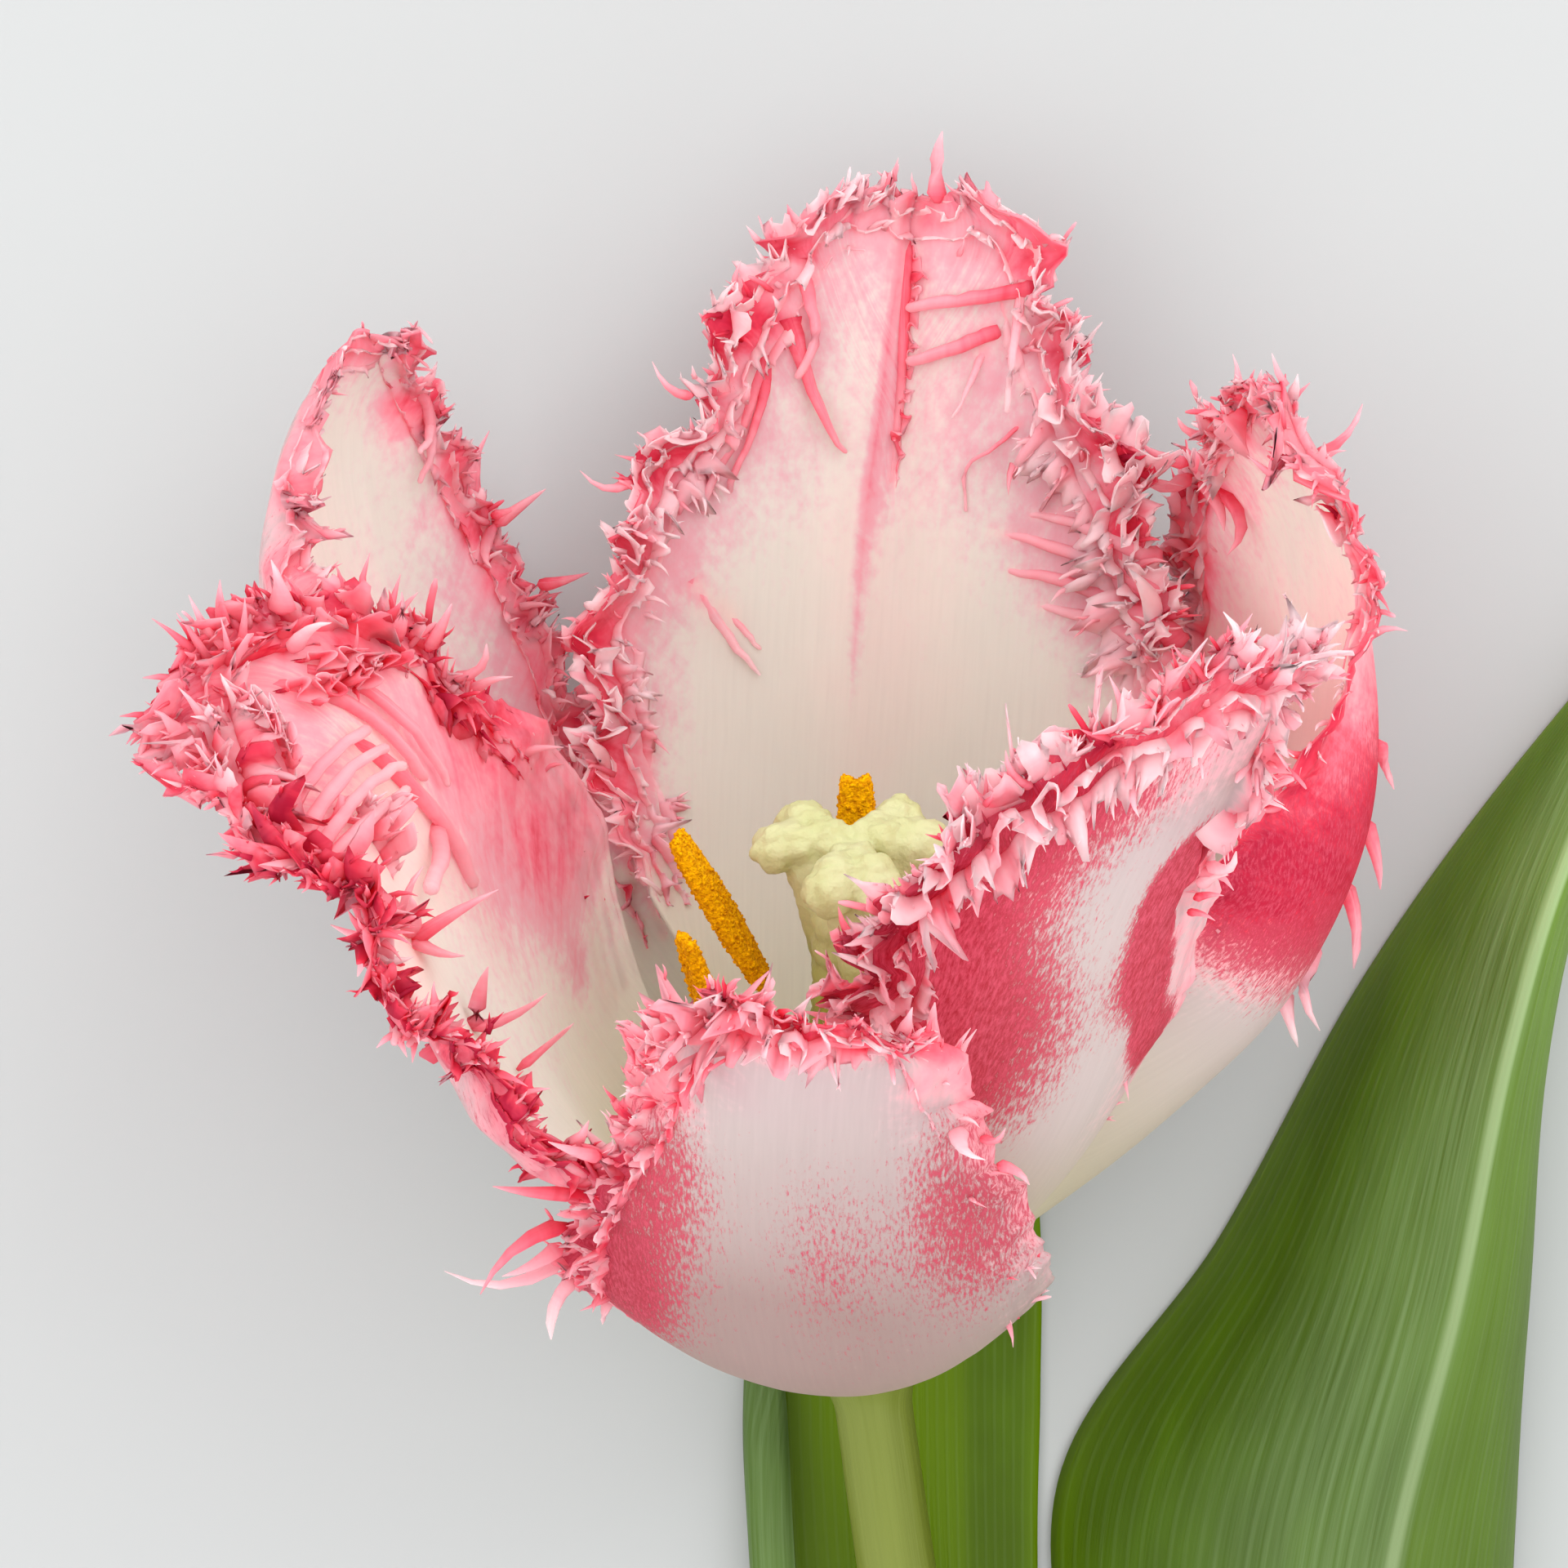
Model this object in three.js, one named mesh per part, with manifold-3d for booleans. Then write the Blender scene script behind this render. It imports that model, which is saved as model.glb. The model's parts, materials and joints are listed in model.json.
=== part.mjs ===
// Fringed tulip: one cut flower lying on a table, in millimetres, +Z up.
// +Y runs along the stem toward the bloom. The bloom opens up and forward, 30 degrees above the table.
// Every tepal is one thin cupped blade with its fringe fused to it.
// Two leaves clasp the lower stem: one lies flat beneath it, the other is folded like a tent at its right.

import * as THREE from "three";
import { mergeVertices } from "three/addons/utils/BufferGeometryUtils.js";
import Module from "manifold-3d";

const wasm = await Module();
wasm.setup();

// ---------- Driving dimensions ----------

const bloomX = -5.8;            // bloom's base, measured from the middle of the whole flower
const bloomY = 71;
const bloomHeight = 13;         // bloom's base above the table
const bloomTilt = 30;           // degrees between the bloom's axis and the table
const bloomLean = -1.5;         // degrees, the axis turned to the left as seen from above

const tepalThickness = 0.8;
const leafThickness = 0.8;
const gap = 0.3;                // between neighbouring pieces
const floorGap = 0.35;          // lowest fringe above the table
const finest = 0.02;            // shorter edges, left where spikes are fused to a blade, are merged

const fringeSpacing = 3.1;      // along a margin
const fringeShortest = 2.4;
const fringeLongest = 6;
const fringeRadius = 0.8;       // of a spike's root
const fringeRoot = 1.1;         // how deep a spike's root is sunk in the blade
const spurRadius = 0.95;
const fringeStart = 0.36;       // share of the tepal's length below which its margin is bare

const receptacleRadius = 3.9;
const receptacleTop = 2.2;      // above the bloom's base, along its axis
const tepalRoot = 4.4;          // distance of every tepal's base from the axis
const outerRootHeight = 0.1;
const innerRootHeight = 1.6;

const ovaryHeight = 31;
const ovaryRadius = 3.4;
const stigmaRadius = 4.1;
const stigmaHeight = 33.6;

const filamentRadius = 0.75;
const filamentRoot = 3.05;      // distance of a filament's foot from the axis
const antherRadius = 1.5;

const stemRadiusTop = 2.6;
const stemRadiusCut = 3.2;
const stemHeight = 4.3;         // the lying stem's centre above the table

// ---------- Small helpers ----------

const radians = THREE.MathUtils.degToRad;
const smoothstep = THREE.MathUtils.smoothstep;

// Seeded random numbers in [0, 1)
function randomFrom(seed) {
  let state = seed >>> 0;
  return () => {
    state = (state + 0x6d2b79f5) >>> 0;
    let mixed = Math.imul(state ^ (state >>> 15), state | 1);
    mixed ^= mixed + Math.imul(mixed ^ (mixed >>> 7), mixed | 61);
    return ((mixed ^ (mixed >>> 14)) >>> 0) / 4294967296;
  };
}

// A smooth function through [place, value] keys that never overshoots them
function through(keys) {
  const count = keys.length;
  const secants = [];
  for (let i = 0; i < count - 1; i++) {
    secants.push((keys[i + 1][1] - keys[i][1]) / (keys[i + 1][0] - keys[i][0]));
  }
  const slopes = keys.map((key, i) => {
    if (i === 0) return secants[0];
    if (i === count - 1) return secants[count - 2];
    const product = secants[i - 1] * secants[i];
    return product <= 0 ? 0 : (2 * product) / (secants[i - 1] + secants[i]);
  });
  return (place) => {
    if (place <= keys[0][0]) return keys[0][1];
    if (place >= keys[count - 1][0]) return keys[count - 1][1];
    let i = 0;
    while (place > keys[i + 1][0]) i++;
    const width = keys[i + 1][0] - keys[i][0];
    const u = (place - keys[i][0]) / width;
    const startWeight = (1 + 2 * u) * (1 - u) * (1 - u);
    const endWeight = u * u * (3 - 2 * u);
    const startSlope = u * (1 - u) * (1 - u) * width * slopes[i];
    const endSlope = u * u * (u - 1) * width * slopes[i + 1];
    return startWeight * keys[i][1] + endWeight * keys[i + 1][1] + startSlope + endSlope;
  };
}

function toSolid(geometry) {
  const bare = geometry.index ? geometry.clone() : geometry;
  bare.deleteAttribute("normal");
  bare.deleteAttribute("uv");
  const merged = mergeVertices(bare, 1e-4);
  return new wasm.Manifold(new wasm.Mesh({
    numProp: 3,
    vertProperties: new Float32Array(merged.attributes.position.array),
    triVerts: new Uint32Array(merged.index.array),
  }));
}

function toGeometry(solid) {
  const mesh = solid.asOriginal().simplify(finest).getMesh();
  const geometry = new THREE.BufferGeometry();
  geometry.setAttribute("position", new THREE.BufferAttribute(mesh.vertProperties, 3));
  geometry.setIndex(new THREE.BufferAttribute(mesh.triVerts, 1));
  geometry.computeVertexNormals();
  return geometry;
}

// Closed solid between two like grids of points, one on each face of a thin sheet
function sheetGeometry(frontRows, backRows) {
  const rowCount = frontRows.length;
  const columnCount = frontRows[0].length;
  const points = [...frontRows.flat(), ...backRows.flat()];
  const half = rowCount * columnCount;
  const at = (row, column) => row * columnCount + column;
  const index = [];
  const quad = (a, b, c, d) => index.push(a, b, c, a, c, d);
  for (let row = 0; row < rowCount - 1; row++) {
    for (let column = 0; column < columnCount - 1; column++) {
      const [a, b] = [at(row, column), at(row + 1, column)];
      const [c, d] = [at(row + 1, column + 1), at(row, column + 1)];
      quad(a, b, c, d);
      index.push(a + half, c + half, b + half, a + half, d + half, c + half);
    }
  }
  for (let row = 0; row < rowCount - 1; row++) {
    const last = columnCount - 1;
    quad(at(row, 0), at(row, 0) + half, at(row + 1, 0) + half, at(row + 1, 0));
    quad(at(row, last), at(row + 1, last), at(row + 1, last) + half, at(row, last) + half);
  }
  for (let column = 0; column < columnCount - 1; column++) {
    const last = rowCount - 1;
    quad(at(0, column), at(0, column + 1), at(0, column + 1) + half, at(0, column) + half);
    quad(at(last, column), at(last, column) + half, at(last, column + 1) + half, at(last, column + 1));
  }
  const geometry = new THREE.BufferGeometry();
  const numbers = points.flatMap((point) => [point.x, point.y, point.z]);
  geometry.setAttribute("position", new THREE.Float32BufferAttribute(numbers, 3));
  geometry.setIndex(index);
  return geometry;
}

// Unit normals of a grid of points, from the differences of its neighbours
function gridNormals(rows) {
  return rows.map((row, i) => row.map((point, j) => {
    const before = rows[Math.max(i - 1, 0)][j];
    const after = rows[Math.min(i + 1, rows.length - 1)][j];
    const left = row[Math.max(j - 1, 0)];
    const right = row[Math.min(j + 1, row.length - 1)];
    const along = after.clone().sub(before);
    return along.cross(right.clone().sub(left)).normalize();
  }));
}

function sheetSolid(rows, thickness, lowest = -Infinity) {
  const normals = gridNormals(rows);
  const shifted = (amount) => rows.map((row, i) => row.map((point, j) => {
    const moved = point.clone().addScaledVector(normals[i][j], amount);
    moved.z = Math.max(moved.z, lowest);
    return moved;
  }));
  const solid = toSolid(sheetGeometry(shifted(thickness / 2), shifted(-thickness / 2)));
  if (solid.volume() > 0) return solid;
  return toSolid(sheetGeometry(shifted(-thickness / 2), shifted(thickness / 2)));
}

// A tapered tube through a few points, closed at both ends; a tip radius of 0 makes a spike
function taperedTube(centres, radii, sides, turn = 0) {
  const positions = [];
  const index = [];
  const rings = centres.map((centre, i) => {
    const before = centres[Math.max(i - 1, 0)];
    const after = centres[Math.min(i + 1, centres.length - 1)];
    const tangent = after.clone().sub(before).normalize();
    const aside = Math.abs(tangent.z) > 0.9 ? new THREE.Vector3(1, 0, 0) : new THREE.Vector3(0, 0, 1);
    const across = aside.cross(tangent).normalize();
    const over = tangent.clone().cross(across);
    const first = positions.length / 3;
    const count = radii[i] === 0 ? 1 : sides;
    for (let k = 0; k < count; k++) {
      const angle = turn + (2 * Math.PI * k) / sides;
      const point = centre.clone();
      point.addScaledVector(across, Math.cos(angle) * radii[i]);
      point.addScaledVector(over, Math.sin(angle) * radii[i]);
      positions.push(point.x, point.y, point.z);
    }
    return { first, count };
  });
  for (let i = 0; i < rings.length - 1; i++) {
    for (let k = 0; k < sides; k++) {
      const next = (k + 1) % sides;
      const low = rings[i];
      const high = rings[i + 1];
      if (high.count === 1) {
        index.push(low.first + k, low.first + next, high.first);
      } else {
        index.push(low.first + k, low.first + next, high.first + next);
        index.push(low.first + k, high.first + next, high.first + k);
      }
    }
  }
  const last = rings[rings.length - 1];
  for (let k = 1; k < sides - 1; k++) {
    index.push(rings[0].first, rings[0].first + k + 1, rings[0].first + k);
    if (last.count > 1) index.push(last.first, last.first + k, last.first + k + 1);
  }
  const geometry = new THREE.BufferGeometry();
  geometry.setAttribute("position", new THREE.Float32BufferAttribute(positions, 3));
  geometry.setIndex(index);
  return geometry;
}

function mix(from, to, share) {
  return from.clone().lerp(to, share);
}

// ---------- The bloom's own directions ----------

const axis = new THREE.Vector3(
  Math.sin(radians(bloomLean)) * Math.cos(radians(bloomTilt)),
  Math.cos(radians(bloomLean)) * Math.cos(radians(bloomTilt)),
  Math.sin(radians(bloomTilt)),
);
const sideways = new THREE.Vector3(axis.y, -axis.x, 0).normalize();
const downward = axis.clone().cross(sideways);
const bloomBase = new THREE.Vector3(0, 0, bloomHeight);

// Unit vector away from the axis: 0 degrees points right, 90 down to the table, 270 up
function outwardAt(degrees) {
  const angle = radians(degrees);
  return sideways.clone().multiplyScalar(Math.cos(angle)).addScaledVector(downward, Math.sin(angle));
}

function bloomPoint(degrees, radius, height) {
  return bloomBase.clone().addScaledVector(outwardAt(degrees), radius).addScaledVector(axis, height);
}

// ---------- Tepals ----------
// Keys are [share of the length, value]. turn: place round the axis. lean: degrees between the midrib and
// the axis. width: half width. cup: degrees that each half turns inward from midrib to margin. low and high
// change the half at the smaller and the larger turn. curl: more turning near that margin. twist turns the
// section about the midrib. veer bends the midrib sideways. wave and waves: height and count of ruffles.
// crease: depth of the groove along the midrib. fringe: length of the spikes, as a share of the usual one.
// start: where the fringe starts. spurs: [place, across, length] of spikes on the outer face.

const tepals = {
  tepal_inner_back: {
    turn: 88, length: 73, inner: true, seed: 11,
    lean: [[0, 60], [0.12, 50], [0.3, 31], [0.55, 18], [1, 26]],
    veer: [[0, 0], [0.3, -3], [1, -5]],
    width: [[0, 3.2], [0.08, 5.5], [0.2, 12], [0.4, 20], [0.55, 22.5], [0.7, 20], [0.82, 16], [0.92, 11.5],
      [0.97, 8], [1, 4]],
    cup: [[0, 60], [0.15, 70], [0.3, 62], [0.6, 42], [0.85, 26], [1, 20]],
    wave: 1.0, waves: 5, crease: 1.3,
  },
  tepal_outer_back_left: {
    turn: 148, length: 79, inner: false, seed: 23,
    lean: [[0, 78], [0.12, 64], [0.3, 40], [0.5, 30], [0.7, 20], [0.84, 4], [0.93, -20], [1, -40]],
    veer: [[0, 0], [0.5, 0], [1, -6]],
    width: [[0, 3.6], [0.08, 7], [0.2, 11.5], [0.4, 15], [0.58, 16], [0.75, 14.5], [0.88, 11], [0.96, 7.5],
      [1, 3]],
    cup: [[0, 60], [0.3, 50], [0.6, 45], [0.85, 50], [1, 55]],
    low: { width: [[0.5, 1], [0.7, 1.15]], cup: [[0.5, 0], [0.75, -25], [1, -30]] },
    high: { cup: [[0, -22], [0.25, -10], [0.4, 0]], curl: [[0.4, 0], [0.6, 70], [1, 90]] },
    wave: 0.7, waves: 6,
  },
  tepal_inner_left: {
    turn: 190, length: 66, inner: true, seed: 37,
    lean: [[0, 70], [0.1, 54], [0.22, 30], [0.5, 21], [0.62, 23], [0.75, 34], [0.85, 60], [0.93, 90],
      [1, 112]],
    width: [[0, 3.4], [0.08, 6], [0.2, 12], [0.35, 19], [0.5, 23], [0.65, 22.5], [0.78, 19], [0.88, 14],
      [0.95, 8.5], [1, 3]],
    cup: [[0, 60], [0.15, 64], [0.3, 50], [0.6, 22], [0.85, 16], [1, 16]],
    low: { width: [[0, 1], [0.35, 0.88], [0.5, 0.92], [0.7, 0.84], [1, 1]] },
    high: {
      width: [[0, 1], [0.3, 0.95], [0.5, 1.05], [0.8, 1]],
      cup: [[0, 0], [0.25, -16], [0.5, -22], [0.8, -16], [1, -10]],
      curl: [[0.2, 0], [0.38, 80], [0.55, 80], [0.8, 40], [1, 20]],
    },
    twist: [[0, 0], [0.3, 2], [0.55, 15], [1, 18]],
    wave: 0.9, waves: 6,
  },
  tepal_outer_front: {
    turn: 261, length: 65, inner: false, seed: 41,
    lean: [[0, 86], [0.12, 72], [0.3, 38], [0.55, 24], [1, 32]],
    veer: [[0, 0], [0.3, 0], [1, 10]],
    width: [[0, 3.6], [0.08, 8], [0.2, 14], [0.35, 17], [0.5, 16], [0.7, 13], [0.85, 10.5], [0.94, 8],
      [1, 3]],
    cup: [[0, 60], [0.3, 50], [0.6, 44], [0.85, 40], [1, 35]],
    low: {
      width: [[0, 1], [0.25, 1.06], [0.5, 1], [0.75, 0.87], [1, 1]],
      cup: [[0, 0], [0.25, -8], [0.5, -12], [0.8, 0]],
    },
    wave: 0.6, waves: 6, fringe: 1.4, start: 0.24,
  },
  tepal_inner_front_right: {
    turn: 312, length: 72, inner: true, seed: 53,
    lean: [[0, 50], [0.12, 41], [0.3, 32], [0.55, 22], [1, 22]],
    veer: [[0, 0], [0.4, 0], [1, 8]],
    width: [[0, 3.4], [0.08, 6], [0.2, 12.5], [0.4, 21], [0.6, 24], [0.75, 21], [0.87, 14], [0.95, 8],
      [1, 3]],
    cup: [[0, 60], [0.15, 70], [0.3, 62], [0.6, 50], [1, 50]],
    low: { width: [[0, 1], [0.3, 0.86], [0.6, 0.9], [0.8, 1], [1, 1]] },
    high: {
      width: [[0, 1], [0.3, 0.6], [0.6, 0.42], [0.85, 0.6], [1, 1]],
      cup: [[0, 0], [0.2, -20], [0.6, -28], [1, -20]],
    },
    wave: 0.7, waves: 6,
  },
  tepal_outer_back_right: {
    turn: 20, length: 77, inner: false, seed: 67,
    lean: [[0, 58], [0.12, 52], [0.3, 48], [0.5, 22], [0.72, -3], [1, -22]],
    width: [[0, 3.6], [0.08, 7], [0.2, 12], [0.4, 17], [0.58, 18.5], [0.75, 16.5], [0.88, 11], [0.96, 6.5],
      [1, 3]],
    cup: [[0, 60], [0.3, 50], [0.6, 50], [0.85, 55], [1, 60]],
    low: {
      width: [[0, 0.8], [0.25, 0.88], [0.4, 0.85], [0.6, 0.95], [1, 1]],
      cup: [[0, 0], [0.3, 25], [0.5, 45], [0.7, 35], [1, 20]],
    },
    high: {
      width: [[0, 0.85], [0.3, 1], [0.65, 0.85], [1, 1]],
      cup: [[0.3, 0], [0.6, -36], [0.85, -34], [1, -10]],
    },
    wave: 0.7, waves: 6,
    spurs: [[0.66, -0.1, 5.5], [0.56, -0.05, 6], [0.48, 0.1, 7.5], [0.41, -0.15, 7], [0.34, 0.05, 6]],
  },
};

const midribSteps = 200;
const sectionSteps = 40;

// The midrib as points with the three directions along, across and out of the blade
function midribOf(spec) {
  const lean = through(spec.lean);
  const veer = through(spec.veer ?? [[0, 0], [1, 0]]);
  const step = spec.length / midribSteps;
  const out = outwardAt(spec.turn);
  const round = outwardAt(spec.turn + 90);
  let radius = tepalRoot;
  let height = spec.inner ? innerRootHeight : outerRootHeight;
  let aside = 0;
  const stations = [];
  for (let i = 0; i <= midribSteps; i++) {
    const place = i / midribSteps;
    const angle = radians(lean(place));
    const turned = radians(veer(place));
    const straight = out.clone().multiplyScalar(Math.sin(angle)).addScaledVector(axis, Math.cos(angle));
    stations.push({
      point: bloomPoint(spec.turn, radius, height).addScaledVector(round, aside),
      across: round.clone().multiplyScalar(Math.cos(turned)).addScaledVector(straight, -Math.sin(turned)),
      outward: out.clone().multiplyScalar(Math.cos(angle)).addScaledVector(axis, -Math.sin(angle)),
    });
    radius += Math.sin(angle) * step;
    height += Math.cos(angle) * step;
    aside += Math.sin(turned) * step;
  }
  return (place) => stations[Math.round(place * midribSteps)];
}

// Point of a tepal's middle surface: place 0 to 1 from base to tip, across -1 to 1 from margin to margin
function tepalSurface(spec) {
  const flat = [[0, 0], [1, 0]];
  const even = [[0, 1], [1, 1]];
  const midrib = midribOf(spec);
  const width = through(spec.width);
  const cup = through(spec.cup);
  const twist = through(spec.twist ?? flat);
  const halves = [spec.low ?? {}, spec.high ?? {}].map((half) => ({
    width: through(half.width ?? even),
    cup: through(half.cup ?? flat),
    curl: through(half.curl ?? flat),
  }));
  return (place, across) => {
    const half = halves[across < 0 ? 0 : 1];
    const station = midrib(place);
    const tilt = radians(twist(place));
    const sideDirection = station.across.clone().multiplyScalar(Math.cos(tilt));
    sideDirection.addScaledVector(station.outward, Math.sin(tilt));
    const outDirection = station.outward.clone().multiplyScalar(Math.cos(tilt));
    outDirection.addScaledVector(station.across, -Math.sin(tilt));
    const step = (width(place) * half.width(place) * Math.abs(across)) / sectionSteps;
    let sidewaysRun = 0;
    let inwardRun = 0;
    for (let k = 0; k < sectionSteps; k++) {
      const share = (Math.abs(across) * (k + 0.5)) / sectionSteps;
      const bend = (cup(place) + half.cup(place)) * share;
      const curled = half.curl(place) * smoothstep(share, 0.55, 1) * share;
      sidewaysRun += Math.cos(radians(bend + curled)) * step;
      inwardRun += Math.sin(radians(bend + curled)) * step;
    }
    const sign = Math.sign(across);
    const phase = spec.seed + 1.9 * sign;
    const ripple = Math.sin(2 * Math.PI * spec.waves * place + phase)
      + 0.45 * Math.sin(2 * Math.PI * 2.3 * spec.waves * place + 2.1 * phase);
    const rising = smoothstep(place, 0.35, 0.75);
    inwardRun += spec.wave * ripple * rising * across ** 4;
    inwardRun -= (spec.crease ?? 0) * rising * Math.exp(-((across / 0.12) ** 2));
    return station.point.clone()
      .addScaledVector(sideDirection, sidewaysRun * sign)
      .addScaledVector(outDirection, -inwardRun);
  };
}

const tepalRows = 17;
const tepalColumns = 11;

function tepalGrid(surface) {
  const rows = [];
  for (let i = 0; i < tepalRows; i++) {
    const row = [];
    for (let j = 0; j < tepalColumns; j++) {
      row.push(surface(i / (tepalRows - 1), (2 * j) / (tepalColumns - 1) - 1));
    }
    rows.push(row);
  }
  return rows;
}

// Places round the margin, from low on one side over the tip to low on the other side
function marginPlaces(surface, random, start) {
  const outline = [];
  const count = 60;
  for (let i = 0; i <= count; i++) outline.push([start + ((1 - start) * i) / count, -1]);
  for (let i = 1; i < 10; i++) outline.push([1, -1 + i / 5]);
  for (let i = count; i >= 0; i--) outline.push([start + ((1 - start) * i) / count, 1]);
  const places = [];
  let run = 0;
  let wanted = fringeSpacing * random();
  for (let i = 1; i < outline.length; i++) {
    run += surface(...outline[i]).distanceTo(surface(...outline[i - 1]));
    if (run < wanted) continue;
    run = 0;
    wanted = fringeSpacing * (0.6 + 0.8 * random());
    places.push(outline[i]);
  }
  return places;
}

// One spike of the fringe, bent once, with its root sunk in the blade
function fringeSpike(surface, [place, across], random, fold, scale) {
  const nearTip = Math.abs(across) < 1;
  const point = surface(place, across);
  const inside = nearTip ? surface(place - 0.03, across * 0.96) : surface(place, across * 0.9);
  const outward = point.clone().sub(inside).normalize();
  const onward = surface(Math.min(place + 0.02, 1), across * 0.98)
    .sub(surface(Math.max(place - 0.02, 0), across)).normalize();
  const normal = outward.clone().cross(onward).normalize();
  const length = scale * (fringeShortest + (fringeLongest - fringeShortest) * random() ** 1.6);
  const direction = outward.clone()
    .addScaledVector(onward, 0.9 * (random() - 0.35))
    .addScaledVector(normal, fold + 0.5 * (random() - 0.5))
    .normalize();
  const bent = direction.clone().addScaledVector(normal, 0.5 * (random() - 0.5)).normalize();
  const root = point.clone().addScaledVector(outward, -fringeRoot);
  const middle = root.clone().addScaledVector(direction, fringeRoot + 0.5 * length);
  const tip = middle.clone().addScaledVector(bent, 0.5 * length);
  const radii = [fringeRadius, fringeRadius * 0.7, 0];
  return toSolid(taperedTube([root, middle, tip], radii, 3, random() * 6));
}

// A spur on the blade's outer face, hanging back toward the flower's base
function spur(surface, [place, across, length]) {
  const point = surface(place, across);
  const along = surface(place + 0.02, across).sub(surface(place - 0.02, across)).normalize();
  const aside = surface(place, across + 0.05).sub(surface(place, across - 0.05)).normalize();
  const out = aside.cross(along).normalize();
  const root = point.clone().addScaledVector(out, -0.1);
  const direction = out.clone().addScaledVector(along, -0.7).normalize();
  const middle = root.clone().addScaledVector(direction, 0.5 * length);
  const hanging = direction.clone().addScaledVector(along, -0.6).normalize();
  const tip = middle.clone().addScaledVector(hanging, 0.5 * length);
  return toSolid(taperedTube([root, middle, tip], [spurRadius, spurRadius * 0.65, 0], 3));
}

// True where a piece is clear of the table and of every solid in the list
function isClear(piece, others) {
  if (piece.boundingBox().min[2] < floorGap) return false;
  return others.every((other) => piece.intersect(other).volume() < 1e-6);
}

function makeTepals() {
  const names = Object.keys(tepals);
  const surfaces = names.map((name) => tepalSurface(tepals[name]));
  const grids = surfaces.map(tepalGrid);
  const blades = grids.map((grid) => sheetSolid(grid, tepalThickness));
  const grown = grids.map((grid) => sheetSolid(grid, tepalThickness + 2 * gap));
  const finished = [];
  names.forEach((name, i) => {
    const { seed: firstSeed, fringe = 1, start = fringeStart, spurs = [] } = tepals[name];
    const random = randomFrom(firstSeed);
    const neighbours = [...grown.filter((solid, k) => k !== i), ...finished];
    let solid = blades[i];
    for (const place of marginPlaces(surfaces[i], random, start)) {
      const seed = Math.floor(random() * 1e9);
      for (const fold of [0, 0.9, -0.9]) {
        const spike = fringeSpike(surfaces[i], place, randomFrom(seed), fold, fringe);
        if (!isClear(spike, neighbours)) continue;
        solid = solid.add(spike);
        break;
      }
    }
    for (const place of spurs) {
      const grownSpur = spur(surfaces[i], place);
      if (isClear(grownSpur, neighbours)) solid = solid.add(grownSpur);
    }
    finished.push(solid);
  });
  return names.map((name, i) => [name, finished[i]]);
}

// ---------- Pistil and stamens ----------

function ellipsoid(centre, direction, long, wide) {
  const geometry = new THREE.SphereGeometry(1, 7, 5);
  geometry.scale(wide, long, wide);
  const turn = new THREE.Quaternion().setFromUnitVectors(new THREE.Vector3(0, 1, 0), direction);
  geometry.applyQuaternion(turn);
  geometry.translate(centre.x, centre.y, centre.z);
  return toSolid(geometry);
}

// Three-sided column of the ovary under a crown of three lobes, each split in two
function makePistil() {
  const profile = [[receptacleTop + gap, 0.66], [6, 0.84], [12, 1], [22, 0.98], [ovaryHeight, 0.9]];
  const sides = 12;
  const rings = profile.map(([height, share]) => {
    const ring = [];
    for (let k = 0; k < sides; k++) {
      const degrees = (360 * k) / sides;
      const ribbed = 1 + 0.07 * Math.cos(radians(3 * degrees));
      ring.push(bloomPoint(degrees, ovaryRadius * share * ribbed, height));
    }
    return ring;
  });
  const positions = rings.flat();
  const index = [];
  const lastRing = (rings.length - 1) * sides;
  for (let i = 0; i < rings.length - 1; i++) {
    for (let k = 0; k < sides; k++) {
      const next = (k + 1) % sides;
      const [a, b] = [i * sides + k, i * sides + next];
      index.push(a, b, b + sides, a, b + sides, a + sides);
    }
  }
  for (let k = 1; k < sides - 1; k++) {
    index.push(0, k + 1, k, lastRing, lastRing + k, lastRing + k + 1);
  }
  const column = new THREE.BufferGeometry();
  const numbers = positions.flatMap((point) => [point.x, point.y, point.z]);
  column.setAttribute("position", new THREE.Float32BufferAttribute(numbers, 3));
  column.setIndex(index);
  let solid = toSolid(column);
  if (solid.volume() < 0) {
    column.setIndex(index.reverse());
    solid = toSolid(column);
  }
  for (const degrees of [2, 62, 118, 178, 240, 300]) {
    const centre = bloomPoint(degrees, stigmaRadius, stigmaHeight);
    const direction = outwardAt(degrees).addScaledVector(axis, 0.25).normalize();
    solid = solid.add(ellipsoid(centre, direction, 2.3, 1.7));
  }
  for (const degrees of [32, 148, 270]) {
    const neck = bloomPoint(degrees, stigmaRadius * 0.5, stigmaHeight - 1.2);
    solid = solid.add(ellipsoid(neck, outwardAt(degrees).add(axis).normalize(), 3.1, 2.1));
  }
  const hanging = bloomPoint(270, stigmaRadius, stigmaHeight - 2.4);
  const drooping = axis.clone().addScaledVector(outwardAt(270), 0.2).normalize();
  return solid.add(ellipsoid(hanging, drooping, 3.2, 1.4));
}

// Each stamen: place round the axis, and the anther's lower and upper end as [distance, height]
const stamens = [
  { turn: 164, low: [6.4, 24.3], high: [11.8, 34.2] },
  { turn: 206, low: [8.8, 19.5], high: [12.2, 31.6] },
  { turn: 92, low: [6.6, 23.5], high: [8.2, 35.4] },
  { turn: 30, low: [6.4, 19], high: [9.2, 31] },
  { turn: 330, low: [6.8, 17.5], high: [9.8, 29.5] },
  { turn: 268, low: [7.6, 15.5], high: [11.6, 26.5] },
];

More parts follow.
